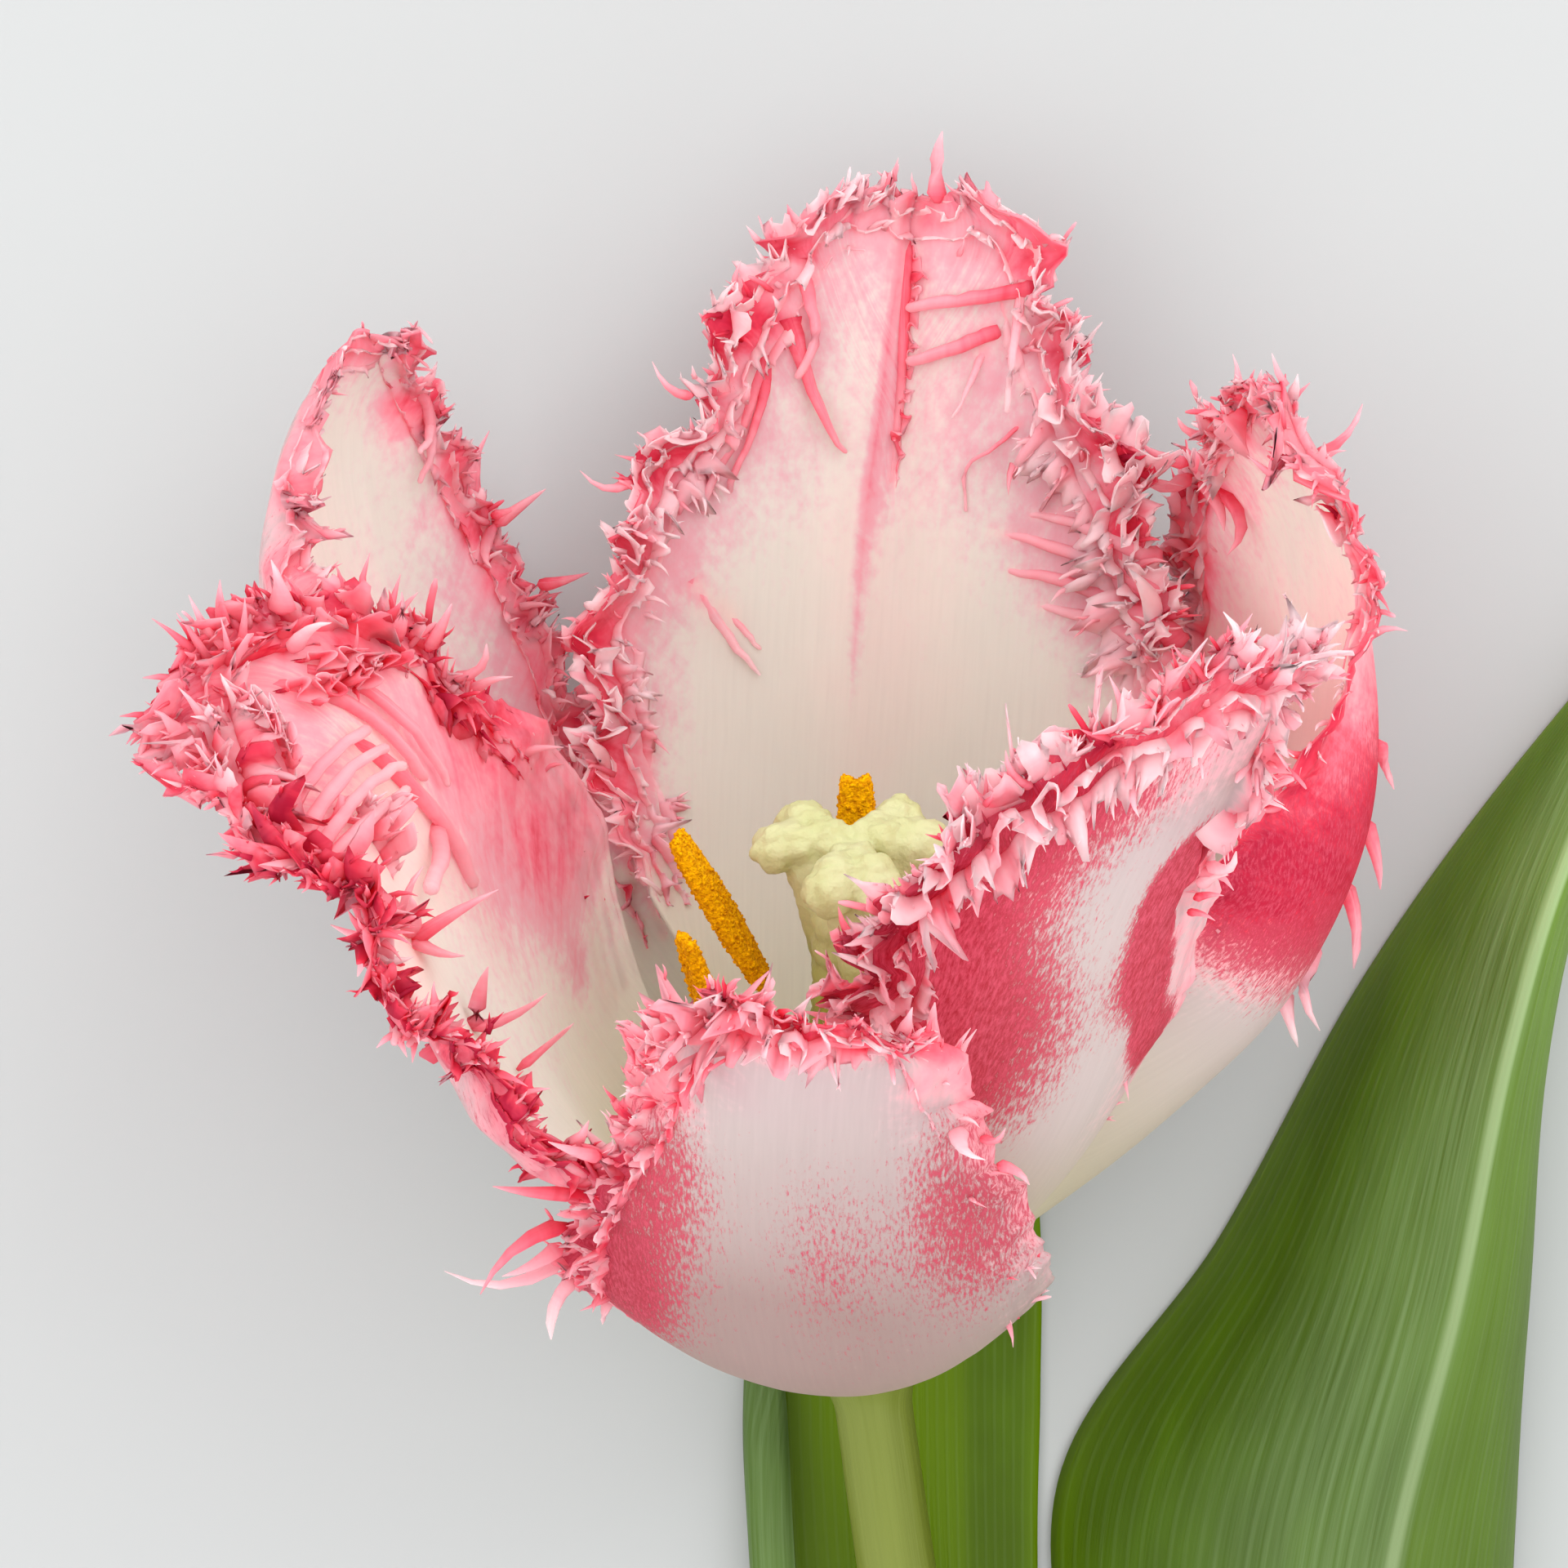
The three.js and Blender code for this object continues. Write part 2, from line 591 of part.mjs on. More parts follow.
function makeStamens() {
  const pieces = [];
  stamens.forEach(({ turn, low, high }, i) => {
    const lower = bloomPoint(turn, ...low);
    const upper = bloomPoint(turn, ...high);
    const along = upper.clone().sub(lower).normalize();
    const foot = bloomPoint(turn, filamentRoot, receptacleTop + gap);
    const top = lower.clone().addScaledVector(along, -gap);
    const bow = mix(foot, top, 0.5).addScaledVector(outwardAt(turn), 0.4);
    const radii = [filamentRadius * 0.85, filamentRadius, filamentRadius * 0.5];
    pieces.push([`filament_${i + 1}`, toSolid(taperedTube([foot, bow, top], radii, 6))]);
    const centres = [0, 0.06, 0.3, 0.7, 0.94, 1].map((share) => mix(lower, upper, share));
    const widths = [0.45, 0.85, 1, 1, 0.8, 0.4].map((share) => share * antherRadius);
    pieces.push([`anther_${i + 1}`, toSolid(taperedTube(centres, widths, 8))]);
  });
  return pieces;
}

// ---------- Stem ----------

// Centre line from the bloom's base down to the cut end
const stemLine = new THREE.CatmullRomCurve3([
  bloomBase.clone().addScaledVector(axis, -1.2),
  bloomBase.clone().addScaledVector(axis, -7).add(new THREE.Vector3(0.5, 0, 0)),
  new THREE.Vector3(2.1, -16, 5.9),
  new THREE.Vector3(4.1, -30, stemHeight + 0.1),
  new THREE.Vector3(6.2, -50, stemHeight),
  new THREE.Vector3(8.4, -80, stemHeight),
  new THREE.Vector3(9.6, -115, stemHeight),
  new THREE.Vector3(9.4, -150, stemHeight),
  new THREE.Vector3(8.2, -185, stemHeight),
  new THREE.Vector3(6.4, -219, stemRadiusCut),
]);

function stemRadiusAt(share) {
  return stemRadiusTop + (stemRadiusCut - stemRadiusTop) * Math.min(1, share * 1.1);
}

function makeStem() {
  const count = 26;
  const centres = [];
  const radii = [];
  for (let i = 0; i <= count; i++) {
    const share = i / count;
    centres.push(stemLine.getPointAt(share));
    const neck = 1 - smoothstep(share, 0, 0.035);
    radii.push(stemRadiusAt(share) + neck * (receptacleRadius + 0.7 - stemRadiusTop));
  }
  const tube = toSolid(taperedTube(centres, radii, 10));
  const top = bloomBase.clone().addScaledVector(axis, receptacleTop);
  const bottom = bloomBase.clone().addScaledVector(axis, -2);
  const knob = taperedTube([bottom, top], [receptacleRadius, receptacleRadius * 0.97], 12);
  return tube.add(toSolid(knob));
}

// ---------- Leaves ----------
// A leaf is a blade over smooth guide lines from its base to its tip, each given by a few points.
// Between two guide lines the blade bulges by a few millimetres.

function leafSolid(guides, strips, rowCount, thickness) {
  const curves = guides.map((points) => new THREE.CatmullRomCurve3(
    points.map(([x, y, z]) => new THREE.Vector3(x, y, z)), false, "centripetal"));
  const rows = [];
  for (let i = 0; i < rowCount; i++) {
    const share = i / (rowCount - 1);
    const ends = curves.map((curve) => curve.getPoint(share));
    const ahead = curves.map((curve) => curve.getPoint(Math.min(share + 0.01, 1)));
    const behind = curves.map((curve) => curve.getPoint(Math.max(share - 0.01, 0)));
    const row = [ends[0]];
    strips.forEach(({ steps, bulge }, k) => {
      const across = ends[k + 1].clone().sub(ends[k]);
      const along = ahead[k].clone().sub(behind[k]).add(ahead[k + 1]).sub(behind[k + 1]);
      const over = across.clone().cross(along).normalize();
      const raised = through(bulge)(share);
      for (let m = 1; m <= steps; m++) {
        const part = m / steps;
        const point = mix(ends[k], ends[k + 1], part);
        row.push(point.addScaledVector(over, raised * 4 * part * (1 - part)));
      }
    });
    rows.push(row.map((point) => point.setZ(Math.max(point.z, thickness / 2))));
  }
  return sheetSolid(rows, thickness, 0);
}

// Flat leaf: rolled margin, fold, midrib, right margin
function makeLeafUnder() {
  const roll = [[4.6, -176, 6.8], [3.4, -160, 4], [1.6, -140, 1.8], [0.8, -110, 2.8], [-0.6, -75, 3.8],
    [-3, -40, 4.0], [-4.5, -18, 3.8], [-5.2, -7, 2.2], [-6.2, 4, 0.6], [-5.6, 18, 0.4], [-2.6, 32, 0.4],
    [1.9, 45, 0.4]];
  const fold = [[4.3, -176, 4.8], [3.2, -160, 2.4], [0.6, -140, 0.8], [-0.9, -110, 0.5], [-2.6, -75, 0.4],
    [-5.4, -40, 0.4], [-7.2, -18, 0.4], [-7.8, -7, 0.4], [-7.4, 4, 0.4], [-6.2, 18, 0.4], [-3, 32, 0.4],
    [1.7, 45.2, 0.4]];
  const rib = [[8.4, -176, 0.4], [8.8, -160, 0.4], [9, -140, 0.4], [8.6, -110, 0.4], [7.2, -75, 0.4],
    [4.6, -40, 0.4], [3.2, -18, 0.4], [2.8, -7, 0.4], [2.6, 4, 0.4], [2.5, 18, 0.4], [2.4, 32, 0.4],
    [2.4, 46, 0.4]];
  const right = [[12.7, -176, 4.8], [13.9, -160, 2.4], [16, -140, 0.7], [17, -110, 0.4], [15.4, -75, 0.4],
    [12.8, -40, 0.4], [12.2, -18, 0.4], [12.4, -7, 0.4], [12.4, 4, 0.4], [11, 18, 0.4], [7.6, 32, 0.4],
    [3.1, 45.2, 0.4]];
  const strips = [
    { steps: 3, bulge: [[0, -0.3], [0.2, -0.9], [0.6, -1.4], [0.7, 0], [1, 0]] },
    { steps: 3, bulge: [[0, -1.5], [0.08, -1.3], [0.16, 0], [1, 0]] },
    { steps: 3, bulge: [[0, -1.5], [0.08, -1.3], [0.16, 0], [1, 0]] },
  ];
  return leafSolid([roll, fold, rib, right], strips, 21, leafThickness);
}

// Tent-like leaf: left margin, keel, right margin
function makeLeafRight() {
  const left = [[5.9, -146, 6.2], [5.8, -130, 6.4], [8.6, -108, 8.6], [13.6, -84, 6.6], [15.2, -58, 2.2],
    [14.8, -32, 0.7], [13.9, -13, 0.4], [24.9, 3.3, 0.4], [34.4, 20.5, 0.4], [42.2, 31.8, 0.4],
    [57.4, 50.4, 0.6]];
  const keel = [[12.4, -146, 6.9], [12.8, -130, 7.3], [16.4, -108, 9.8], [24, -84, 12], [30.5, -56, 12.6],
    [33.8, -36, 12.4], [35.7, -18, 13], [40, 0, 15.4], [43.5, 16.5, 14.4], [47.6, 29.1, 10.4],
    [58, 50, 1.6]];
  const right = [[13.1, -146, 1.9], [13.8, -130, 2], [20, -107, 2], [31.5, -80, 0.6], [39.5, -52, 0.4],
    [43.6, -32, 0.4], [44.8, -16, 0.4], [45.4, 0, 0.4], [46.2, 15.5, 0.4], [49.4, 28.5, 0.4],
    [58.6, 49.6, 0.6]];
  const strips = [
    { steps: 5, bulge: [[0, 1.5], [0.1, 1.5], [0.25, 1.2], [0.6, 2], [1, 0.3]] },
    { steps: 4, bulge: [[0, 0.9], [0.1, 0.9], [0.25, 1.4], [0.6, 2.2], [1, 0.3]] },
  ];
  return leafSolid([left, keel, right], strips, 21, leafThickness);
}

// ---------- The flower ----------

const looks = {
  tepal: { color: 0xf3b9bf, roughness: 0.5 },
  filament: { color: 0xe9e4b4, roughness: 0.5 },
  anther: { color: 0xe0a010, roughness: 0.85 },
  pistil: { color: 0xc9cf8c, roughness: 0.45 },
  stem: { color: 0xa7b267, roughness: 0.45 },
  leaf: { color: 0x5f8a2a, roughness: 0.5 },
};

const flower = new THREE.Group();
flower.position.set(bloomX, bloomY, 0);

function addPiece(name, solid) {
  const look = looks[name.split("_")[0]];
  const material = new THREE.MeshStandardMaterial({ ...look, metalness: 0 });
  const mesh = new THREE.Mesh(toGeometry(solid), material);
  mesh.name = name;
  flower.add(mesh);
}

addPiece("stem", makeStem());
addPiece("leaf_under", makeLeafUnder());
addPiece("leaf_right", makeLeafRight());
for (const [name, solid] of makeTepals()) addPiece(name, solid);
addPiece("pistil", makePistil());
for (const [name, solid] of makeStamens()) addPiece(name, solid);

const part = new THREE.Group();
part.add(flower);

export default part;
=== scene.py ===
import json
import math

import bpy
import numpy as np
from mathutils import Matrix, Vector

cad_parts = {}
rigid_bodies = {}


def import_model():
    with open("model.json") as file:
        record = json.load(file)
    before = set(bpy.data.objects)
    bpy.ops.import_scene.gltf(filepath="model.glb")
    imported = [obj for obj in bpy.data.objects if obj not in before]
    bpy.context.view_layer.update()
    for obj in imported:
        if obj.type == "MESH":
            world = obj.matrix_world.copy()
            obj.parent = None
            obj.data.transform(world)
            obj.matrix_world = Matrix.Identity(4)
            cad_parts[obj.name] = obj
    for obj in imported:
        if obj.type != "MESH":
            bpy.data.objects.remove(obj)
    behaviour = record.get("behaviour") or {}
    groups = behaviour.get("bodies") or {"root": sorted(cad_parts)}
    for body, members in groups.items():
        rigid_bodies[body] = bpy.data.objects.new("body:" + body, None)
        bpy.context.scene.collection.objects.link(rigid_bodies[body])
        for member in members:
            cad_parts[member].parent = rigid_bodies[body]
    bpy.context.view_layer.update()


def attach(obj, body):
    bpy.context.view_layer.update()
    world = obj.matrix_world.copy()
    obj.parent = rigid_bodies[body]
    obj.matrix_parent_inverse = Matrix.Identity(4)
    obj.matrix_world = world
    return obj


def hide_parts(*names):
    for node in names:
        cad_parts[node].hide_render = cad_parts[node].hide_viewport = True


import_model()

mm = 0.001
scene = bpy.context.scene


# Numbers and curves, in millimetres

def through(keys):
    # smooth function through [place, value] keys that never overshoots them
    x = np.array([k[0] for k in keys], float)
    y = np.array([k[1] for k in keys], float)
    secants = np.diff(y) / np.diff(x)
    slopes = np.empty(len(x))
    slopes[0], slopes[-1] = secants[0], secants[-1]
    for i in range(1, len(x) - 1):
        product = secants[i - 1] * secants[i]
        slopes[i] = 0 if product <= 0 else 2 * product / (secants[i - 1] + secants[i])

    def value(place):
        place = np.clip(np.asarray(place, float), x[0], x[-1])
        i = np.clip(np.searchsorted(x, place, side="left") - 1, 0, len(x) - 2)
        width = x[i + 1] - x[i]
        u = (place - x[i]) / width
        return ((1 + 2 * u) * (1 - u) ** 2 * y[i] + u * u * (3 - 2 * u) * y[i + 1]
                + u * (1 - u) ** 2 * width * slopes[i] + u * u * (u - 1) * width * slopes[i + 1])
    return value


def smooth(value, low, high):
    share = np.clip((np.asarray(value, float) - low) / (high - low), 0, 1)
    return share * share * (3 - 2 * share)


def unit(vectors):
    length = np.linalg.norm(vectors, axis=-1, keepdims=True)
    return vectors / np.maximum(length, 1e-9)


def softNoise(u, v, step, seed):
    # seeded value noise from -1 to 1 with lumps of about one step
    table = np.random.default_rng(seed).uniform(-1, 1, (97, 97))
    x = np.asarray(u, float) / step + 41.3
    y = np.asarray(v, float) / step + 23.7
    i, j = np.floor(x).astype(int), np.floor(y).astype(int)
    fx, fy = x - i, y - j
    fx, fy = fx * fx * (3 - 2 * fx), fy * fy * (3 - 2 * fy)
    i0, i1, j0, j1 = i % 97, (i + 1) % 97, j % 97, (j + 1) % 97
    low = table[i0, j0] * (1 - fx) + table[i1, j0] * fx
    high = table[i0, j1] * (1 - fx) + table[i1, j1] * fx
    return low * (1 - fy) + high * fy


def lumps(u, v, step, seed):
    # three octaves of soft noise
    total, size = 0, 1.0
    for k in range(3):
        total = total + size * softNoise(u, v, step * 0.5 ** k, seed + 101 * k)
        size *= 0.55
    return total / 1.6


def lengthAlong(line):
    return np.concatenate([[0], np.cumsum(np.linalg.norm(np.diff(line, axis=0), axis=1))])


def between(at, places, table):
    # rows of the table, read at places between its own
    return np.stack([np.interp(at, places, column) for column in table.T], -1)


def catmull(points, share):
    # centripetal Catmull-Rom curve through the points, share 0 to 1
    points = np.array(points, float)
    count = len(points)
    run = np.asarray(share, float) * (count - 1)
    i = np.minimum(np.floor(run).astype(int), count - 2)
    w = (run - i)[..., None]
    first, last = 2 * points[0] - points[1], 2 * points[-1] - points[-2]
    padded = np.vstack([first, points, last])
    a, b, c, d = padded[i], padded[i + 1], padded[i + 2], padded[i + 3]
    ab = np.sum((b - a) ** 2, -1, keepdims=True) ** 0.25
    bc = np.sum((c - b) ** 2, -1, keepdims=True) ** 0.25
    cd = np.sum((d - c) ** 2, -1, keepdims=True) ** 0.25
    t0 = ((b - a) / ab - (c - a) / (ab + bc) + (c - b) / bc) * bc
    t1 = ((c - b) / bc - (d - b) / (bc + cd) + (d - c) / cd) * bc
    return b + t0 * w + (3 * (c - b) - 2 * t0 - t1) * w ** 2 + (2 * (b - c) + t0 + t1) * w ** 3


# Meshes

def meshObject(name, points, faces, attributes=None, uv=None):
    # points in mm; attributes are values for the points, uv is one place for each point
    mesh = bpy.data.meshes.new(name)
    mesh.from_pydata((np.asarray(points) * mm).tolist(), [], faces)
    for key, values in (attributes or {}).items():
        values = np.asarray(values, float)
        kind = "FLOAT_VECTOR" if values.ndim == 2 else "FLOAT"
        layer = mesh.attributes.new(key, kind, "POINT")
        layer.data.foreach_set("vector" if values.ndim == 2 else "value", values.ravel())
    if uv is not None:
        loops = np.empty(len(mesh.loops), int)
        mesh.loops.foreach_get("vertex_index", loops)
        mesh.uv_layers.new(name="surface").data.foreach_set("uv", np.asarray(uv, float)[loops].ravel())
    mesh.polygons.foreach_set("use_smooth", [True] * len(mesh.polygons))
    mesh.update()
    obj = bpy.data.objects.new(name, mesh)
    scene.collection.objects.link(obj)
    return obj


def gridNormals(grid):
    return unit(np.cross(np.gradient(grid, axis=0), np.gradient(grid, axis=1)))


def sheetFaces(rows, columns):
    # closed sheet of two like grids: the first one faces its normal side
    half = rows * columns
    at = np.arange(half).reshape(rows, columns)
    quads = np.stack([at[:-1, :-1], at[1:, :-1], at[1:, 1:], at[:-1, 1:]], -1).reshape(-1, 4)
    faces = [*quads.tolist(), *(quads[:, ::-1] + half).tolist()]
    rim = [*at[0, :], *at[1:, -1], *at[-1, -2::-1], *at[-2:0:-1, 0]]
    for a, b in zip(rim, rim[1:] + rim[:1]):
        faces.append([int(a), int(b), int(b) + half, int(a) + half])
    return faces


def ringFaces(rings, sides):
    # faces over rings of points, which are followed by one point that closes the start and one for the end
    faces = [[i * sides + k, (i + 1) * sides + k, (i + 1) * sides + (k + 1) % sides, i * sides + (k + 1) % sides]
             for i in range(rings - 1) for k in range(sides)]
    start, last = rings * sides, (rings - 1) * sides
    for k in range(sides):
        n = (k + 1) % sides
        faces += [[start, k, n], [start + 1, last + n, last + k]]
    return faces


def both(front, back=None):
    # values for the two faces of a sheet, one after the other
    return np.concatenate([front.ravel(), (front if back is None else back).ravel()])


def linear(hexColour):
    # sRGB hex to the linear values that nodes take
    parts = [int(hexColour[i:i + 2], 16) / 255 for i in (0, 2, 4)]
    return [c / 12.92 if c <= 0.04045 else ((c + 0.055) / 1.055) ** 2.4 for c in parts] + [1.0]


def addNode(tree, kind, inputs=(), out=0, **settings):
    # inputs go by place or by name; a socket is linked, a value is set; gives back one output
    node = tree.nodes.new(kind)
    for name, value in settings.items():
        setattr(node, name, value)
    for key, value in inputs.items() if isinstance(inputs, dict) else enumerate(inputs):
        if isinstance(value, bpy.types.NodeSocket):
            tree.links.new(value, node.inputs[key])
        elif value is not None:
            node.inputs[key].default_value = value
    return node.outputs[out] if node.outputs else node


def newMaterial(name):
    material = bpy.data.materials.new(name)
    material.use_nodes = True
    material.node_tree.nodes.clear()
    return material, material.node_tree


def finishMaterial(tree, colour, look, glow=None, height=None):
    # glow is the colour of light that comes through the tissue, height a relief that is look["depth"] mm deep
    shader = addNode(tree, "ShaderNodeBsdfPrincipled", {
        "Base Color": colour, "Roughness": look["roughness"], "IOR": look["ior"],
        "Specular IOR Level": look.get("shine", 0.5)}, distribution="GGX")
    if height is not None:
        bump = addNode(tree, "ShaderNodeBump", {"Height": height, "Strength": 1.0, "Distance": look["depth"] * mm})
        tree.links.new(bump, shader.node.inputs["Normal"])
    if glow is not None:
        thin = addNode(tree, "ShaderNodeBsdfTranslucent", {"Color": glow})
        shader = addNode(tree, "ShaderNodeMixShader", (look["translucency"], shader, thin))
    addNode(tree, "ShaderNodeOutputMaterial", (shader,))


# Tulip tissue is thin, waxy and lit through. Pink runs from 0, cream, to 1, crimson, on one scale.
# filter: how much deeper the colour of the light is that comes through. shine: specular level of the waxy skin.
petalLook = {
    # the inner face's cream is lightened as painted light; the outer face's white and its greenish base are darkened
    # as painted shade
    "insideCreamLit": "FEFDF3", "outsideWhiteShaded": "DDD5D6", "baseInside": "F6F6E2", "baseOutsideShaded": "DAD4BB",
    "lilac": "C3ADAB",
    "pinkScale": [(0.0, "FFF0F2"), (0.2, "FFDDE3"), (0.42, "FFC6D1"), (0.65, "FF96AB"), (0.85, "F4506F"),
                  (1.0, "D82C55")],
    "flameDeep": "C61E40", "flameLight": "E55F7D",
    "roughness": 0.45, "ior": 1.4, "translucency": 0.58, "filter": 1.45, "shine": 0.25,
}


def petalMaterial():
    look = petalLook
    material, tree = newMaterial("tulip tepal, thin and waxy")
    read = {n: addNode(tree, "ShaderNodeAttribute", out=2, attribute_name=n)
            for n in ("pink", "side", "streaks", "along", "tone", "place", "lilac")}
    margin = addNode(tree, "ShaderNodeAttribute", out=1, attribute_name="margin")
    uv = addNode(tree, "ShaderNodeUVMap", uv_map="surface")
    # fibres are 0.3 mm apart, dashes 0.2 mm by 0.9 mm, mottle 0.7 mm by 0.9 mm, clouds 6 mm by 14 mm;
    # tongues run in from the margin, 2 mm wide and 8 mm long
    noise = {}
    for name, over, shift, stretch, scale, detail, roughness, warp in (
            ("fibre", uv, (0, 0, 0), (1.1, 0.05, 1), 3.0, 1.5, 0.6, 0.0),
            ("dash", uv, (7, 5, 2), (1.5, 0.34, 1), 3.4, 3.0, 0.72, 0.0),
            ("cloud", uv, (3, 2, 1), (0.16, 0.07, 1), 1.0, 2.0, 0.6, 0.0),
            ("mottle", uv, (11, 8, 3), (1, 0.8, 1), 1.4, 2.0, 0.6, 0.0),
            ("tongues", margin, (1, 4, 6), (0.55, 0.12, 1), 1.0, 3.0, 0.62, 0.7)):
        grid = addNode(tree, "ShaderNodeMapping", {"Vector": over, "Location": shift, "Scale": stretch})
        noise[name] = addNode(tree, "ShaderNodeTexNoise", {"Vector": grid, "Scale": scale, "Detail": detail,
                                                           "Roughness": roughness, "Distortion": warp})
    tongues = addNode(tree, "ShaderNodeMapRange", {0: noise["tongues"], 1: 0.3, 2: 0.7, 3: -0.1, 4: 0.1})
    # the inner face is the lighter, as painted light, the outer the darker, as painted shade; toward the base both
    # turn greenish cream, darker outside as painted shade
    plain, base = (addNode(tree, "ShaderNodeMix", {0: read["side"], 6: linear(look[inner]), 7: linear(look[outer])},
                           2, data_type="RGBA")
                   for inner, outer in (("insideCreamLit", "outsideWhiteShaded"), ("baseInside", "baseOutsideShaded")))
    atBase = addNode(tree, "ShaderNodeMapRange", {0: read["place"], 1: 0.45, 2: 0.05, 4: 0.8},
                     interpolation_type="SMOOTHSTEP")
    # lilac darkens a greyish tint into the colour: on one tepal its keel's own tint, on the front tepal painted shade
    for share, over in ((atBase, base), (read["lilac"], linear(look["lilac"]))):
        plain = addNode(tree, "ShaderNodeMix", {0: share, 6: plain, 7: over}, 2, data_type="RGBA")
    strength = addNode(tree, "ShaderNodeMath", (read["pink"], 2.2), operation="MULTIPLY", use_clamp=True)
    scale = addNode(tree, "ShaderNodeMath", (tongues, strength, read["pink"]), operation="MULTIPLY_ADD")
    for uneven, amount in ((noise["mottle"], 0.26), (noise["cloud"], 0.16), (read["tone"], 0.36)):
        offset = addNode(tree, "ShaderNodeMath", (uneven, 0.5), operation="SUBTRACT")
        scale = addNode(tree, "ShaderNodeMath", (offset, amount, scale), operation="MULTIPLY_ADD")
    # paler toward the tips of the fringe's fingers and ribbons: painted highlight on the tips
    tipHighlight = addNode(tree, "ShaderNodeMath", (read["along"], 1.6), operation="POWER")
    scale = addNode(tree, "ShaderNodeMath", (tipHighlight, -0.3, scale), operation="MULTIPLY_ADD", use_clamp=True)
    pinks = addNode(tree, "ShaderNodeValToRGB", (scale,))
    elements = pinks.node.color_ramp.elements
    while len(elements) < len(look["pinkScale"]):
        elements.new(0.5)
    for element, (place, colour) in zip(elements, look["pinkScale"]):
        element.position, element.color = place, linear(colour)
    grainy = addNode(tree, "ShaderNodeMath", (noise["fibre"], 0.14, scale), operation="MULTIPLY_ADD")
    shown = addNode(tree, "ShaderNodeMapRange", {0: grainy, 1: 0.13, 2: 0.42}, interpolation_type="SMOOTHSTEP")
    # side is 0 inside, 1 outside and 2 on the fringe, which is pink all over
    fringed = addNode(tree, "ShaderNodeMath", (read["side"], 1.0), operation="SUBTRACT")
    shown = addNode(tree, "ShaderNodeMath", (shown, fringed), operation="MAXIMUM", use_clamp=True)
    # dashes show where the streaks are stronger than the noise
    streak = addNode(tree, "ShaderNodeMath", (read["streaks"], noise["dash"]), operation="ADD")
    dashes = addNode(tree, "ShaderNodeMapRange", {0: streak, 1: 0.92, 2: 1.2, 4: 0.92},
                     interpolation_type="SMOOTHSTEP")
    uneven = addNode(tree, "ShaderNodeMapRange", {0: noise["dash"], 1: 0.36, 2: 0.64})
    flame = addNode(tree, "ShaderNodeMix", {0: uneven, 6: linear(look["flameDeep"]), 7: linear(look["flameLight"])},
                    2, data_type="RGBA")
    colour = plain
    for share, over in ((shown, pinks), (dashes, flame)):
        colour = addNode(tree, "ShaderNodeMix", {0: share, 6: colour, 7: over}, 2, data_type="RGBA")
    fine = addNode(tree, "ShaderNodeMapRange", {0: noise["fibre"], 1: 0.25, 2: 0.75, 3: 0.98, 4: 1.02})
    colour = addNode(tree, "ShaderNodeMix", {0: 1.0, 6: colour, 7: fine}, 2, data_type="RGBA", blend_type="MULTIPLY")
    # light that comes through the tissue is filtered twice, so hollows in the fringe glow a deeper pink
    filtered = addNode(tree, "ShaderNodeGamma", {"Color": colour, "Gamma": look["filter"]})
    finishMaterial(tree, colour, look, filtered)
    return material


def pointsOf(obj, what="co"):
    # places of the vertices, or their normals
    values = np.empty(3 * len(obj.data.vertices))
    obj.data.vertices.foreach_get(what, values)
    return values.reshape(-1, 3)


def movePoints(obj, points):
    obj.data.vertices.foreach_set("co", points.ravel())
    obj.data.update()


tableGap = 0.02    # mm


def aboveFloor(obj):
    # nothing dips into the surface that the flower lies on
    points = pointsOf(obj)
    points[:, 2] = np.maximum(points[:, 2], tableGap * mm)
    movePoints(obj, points)


def newTree(name, sockets):
    tree = bpy.data.node_groups.new(name, "GeometryNodeTree")
    for label, kind, value in sockets:
        socket = tree.interface.new_socket(label, in_out="INPUT", socket_type=kind)
        if value is not None:
            socket.default_value = value
    tree.interface.new_socket("Geometry", in_out="OUTPUT", socket_type="NodeSocketGeometry")
    return tree, addNode(tree, "NodeGroupInput").node.outputs


def endTree(tree, given, instances):
    # the instances become plain mesh, join the given one and get the material
    real = addNode(tree, "GeometryNodeRealizeInstances", (instances,))
    joined = addNode(tree, "GeometryNodeJoinGeometry", (real,))
    tree.links.new(given["Geometry"], joined.node.inputs[0])
    dressed = addNode(tree, "GeometryNodeSetMaterial", {"Geometry": joined, "Material": given["Material"]})
    addNode(tree, "NodeGroupOutput", (dressed,))
    return tree


def applyTree(obj, tree, values):
    modifier = obj.modifiers.new(tree.name, "NODES")
    modifier.node_group = tree
    for item in tree.interface.items_tree:
        if item.item_type == "SOCKET" and item.in_out == "INPUT" and item.name in values:
            modifier[item.identifier] = values[item.name]
    return bake(obj)


def bake(obj):
    # what the modifiers make becomes the object's plain mesh
    bpy.context.view_layer.update()
    graph = bpy.context.evaluated_depsgraph_get()
    made = bpy.data.meshes.new_from_object(obj.evaluated_get(graph), preserve_all_data_layers=True,
                                           depsgraph=graph)
    obj.modifiers.clear()
    old, obj.data = obj.data, made
    bpy.data.meshes.remove(old)
    made.name = obj.name
    made.polygons.foreach_set("use_smooth", [True] * len(made.polygons))
    return obj


onFringe = 2.0    # the value of "side" there; it is 0 inside a tepal and 1 outside
fringePlace = 0.7    # the value of "place" there, past the base's own colour
middleTone, palestFringe = 0.5, 0.14
fringeSizes = {"Density": 0.34e6, "Shortest": 0.3, "Longest": 1.15, "Spread": 0.5}    # fingers on a square metre


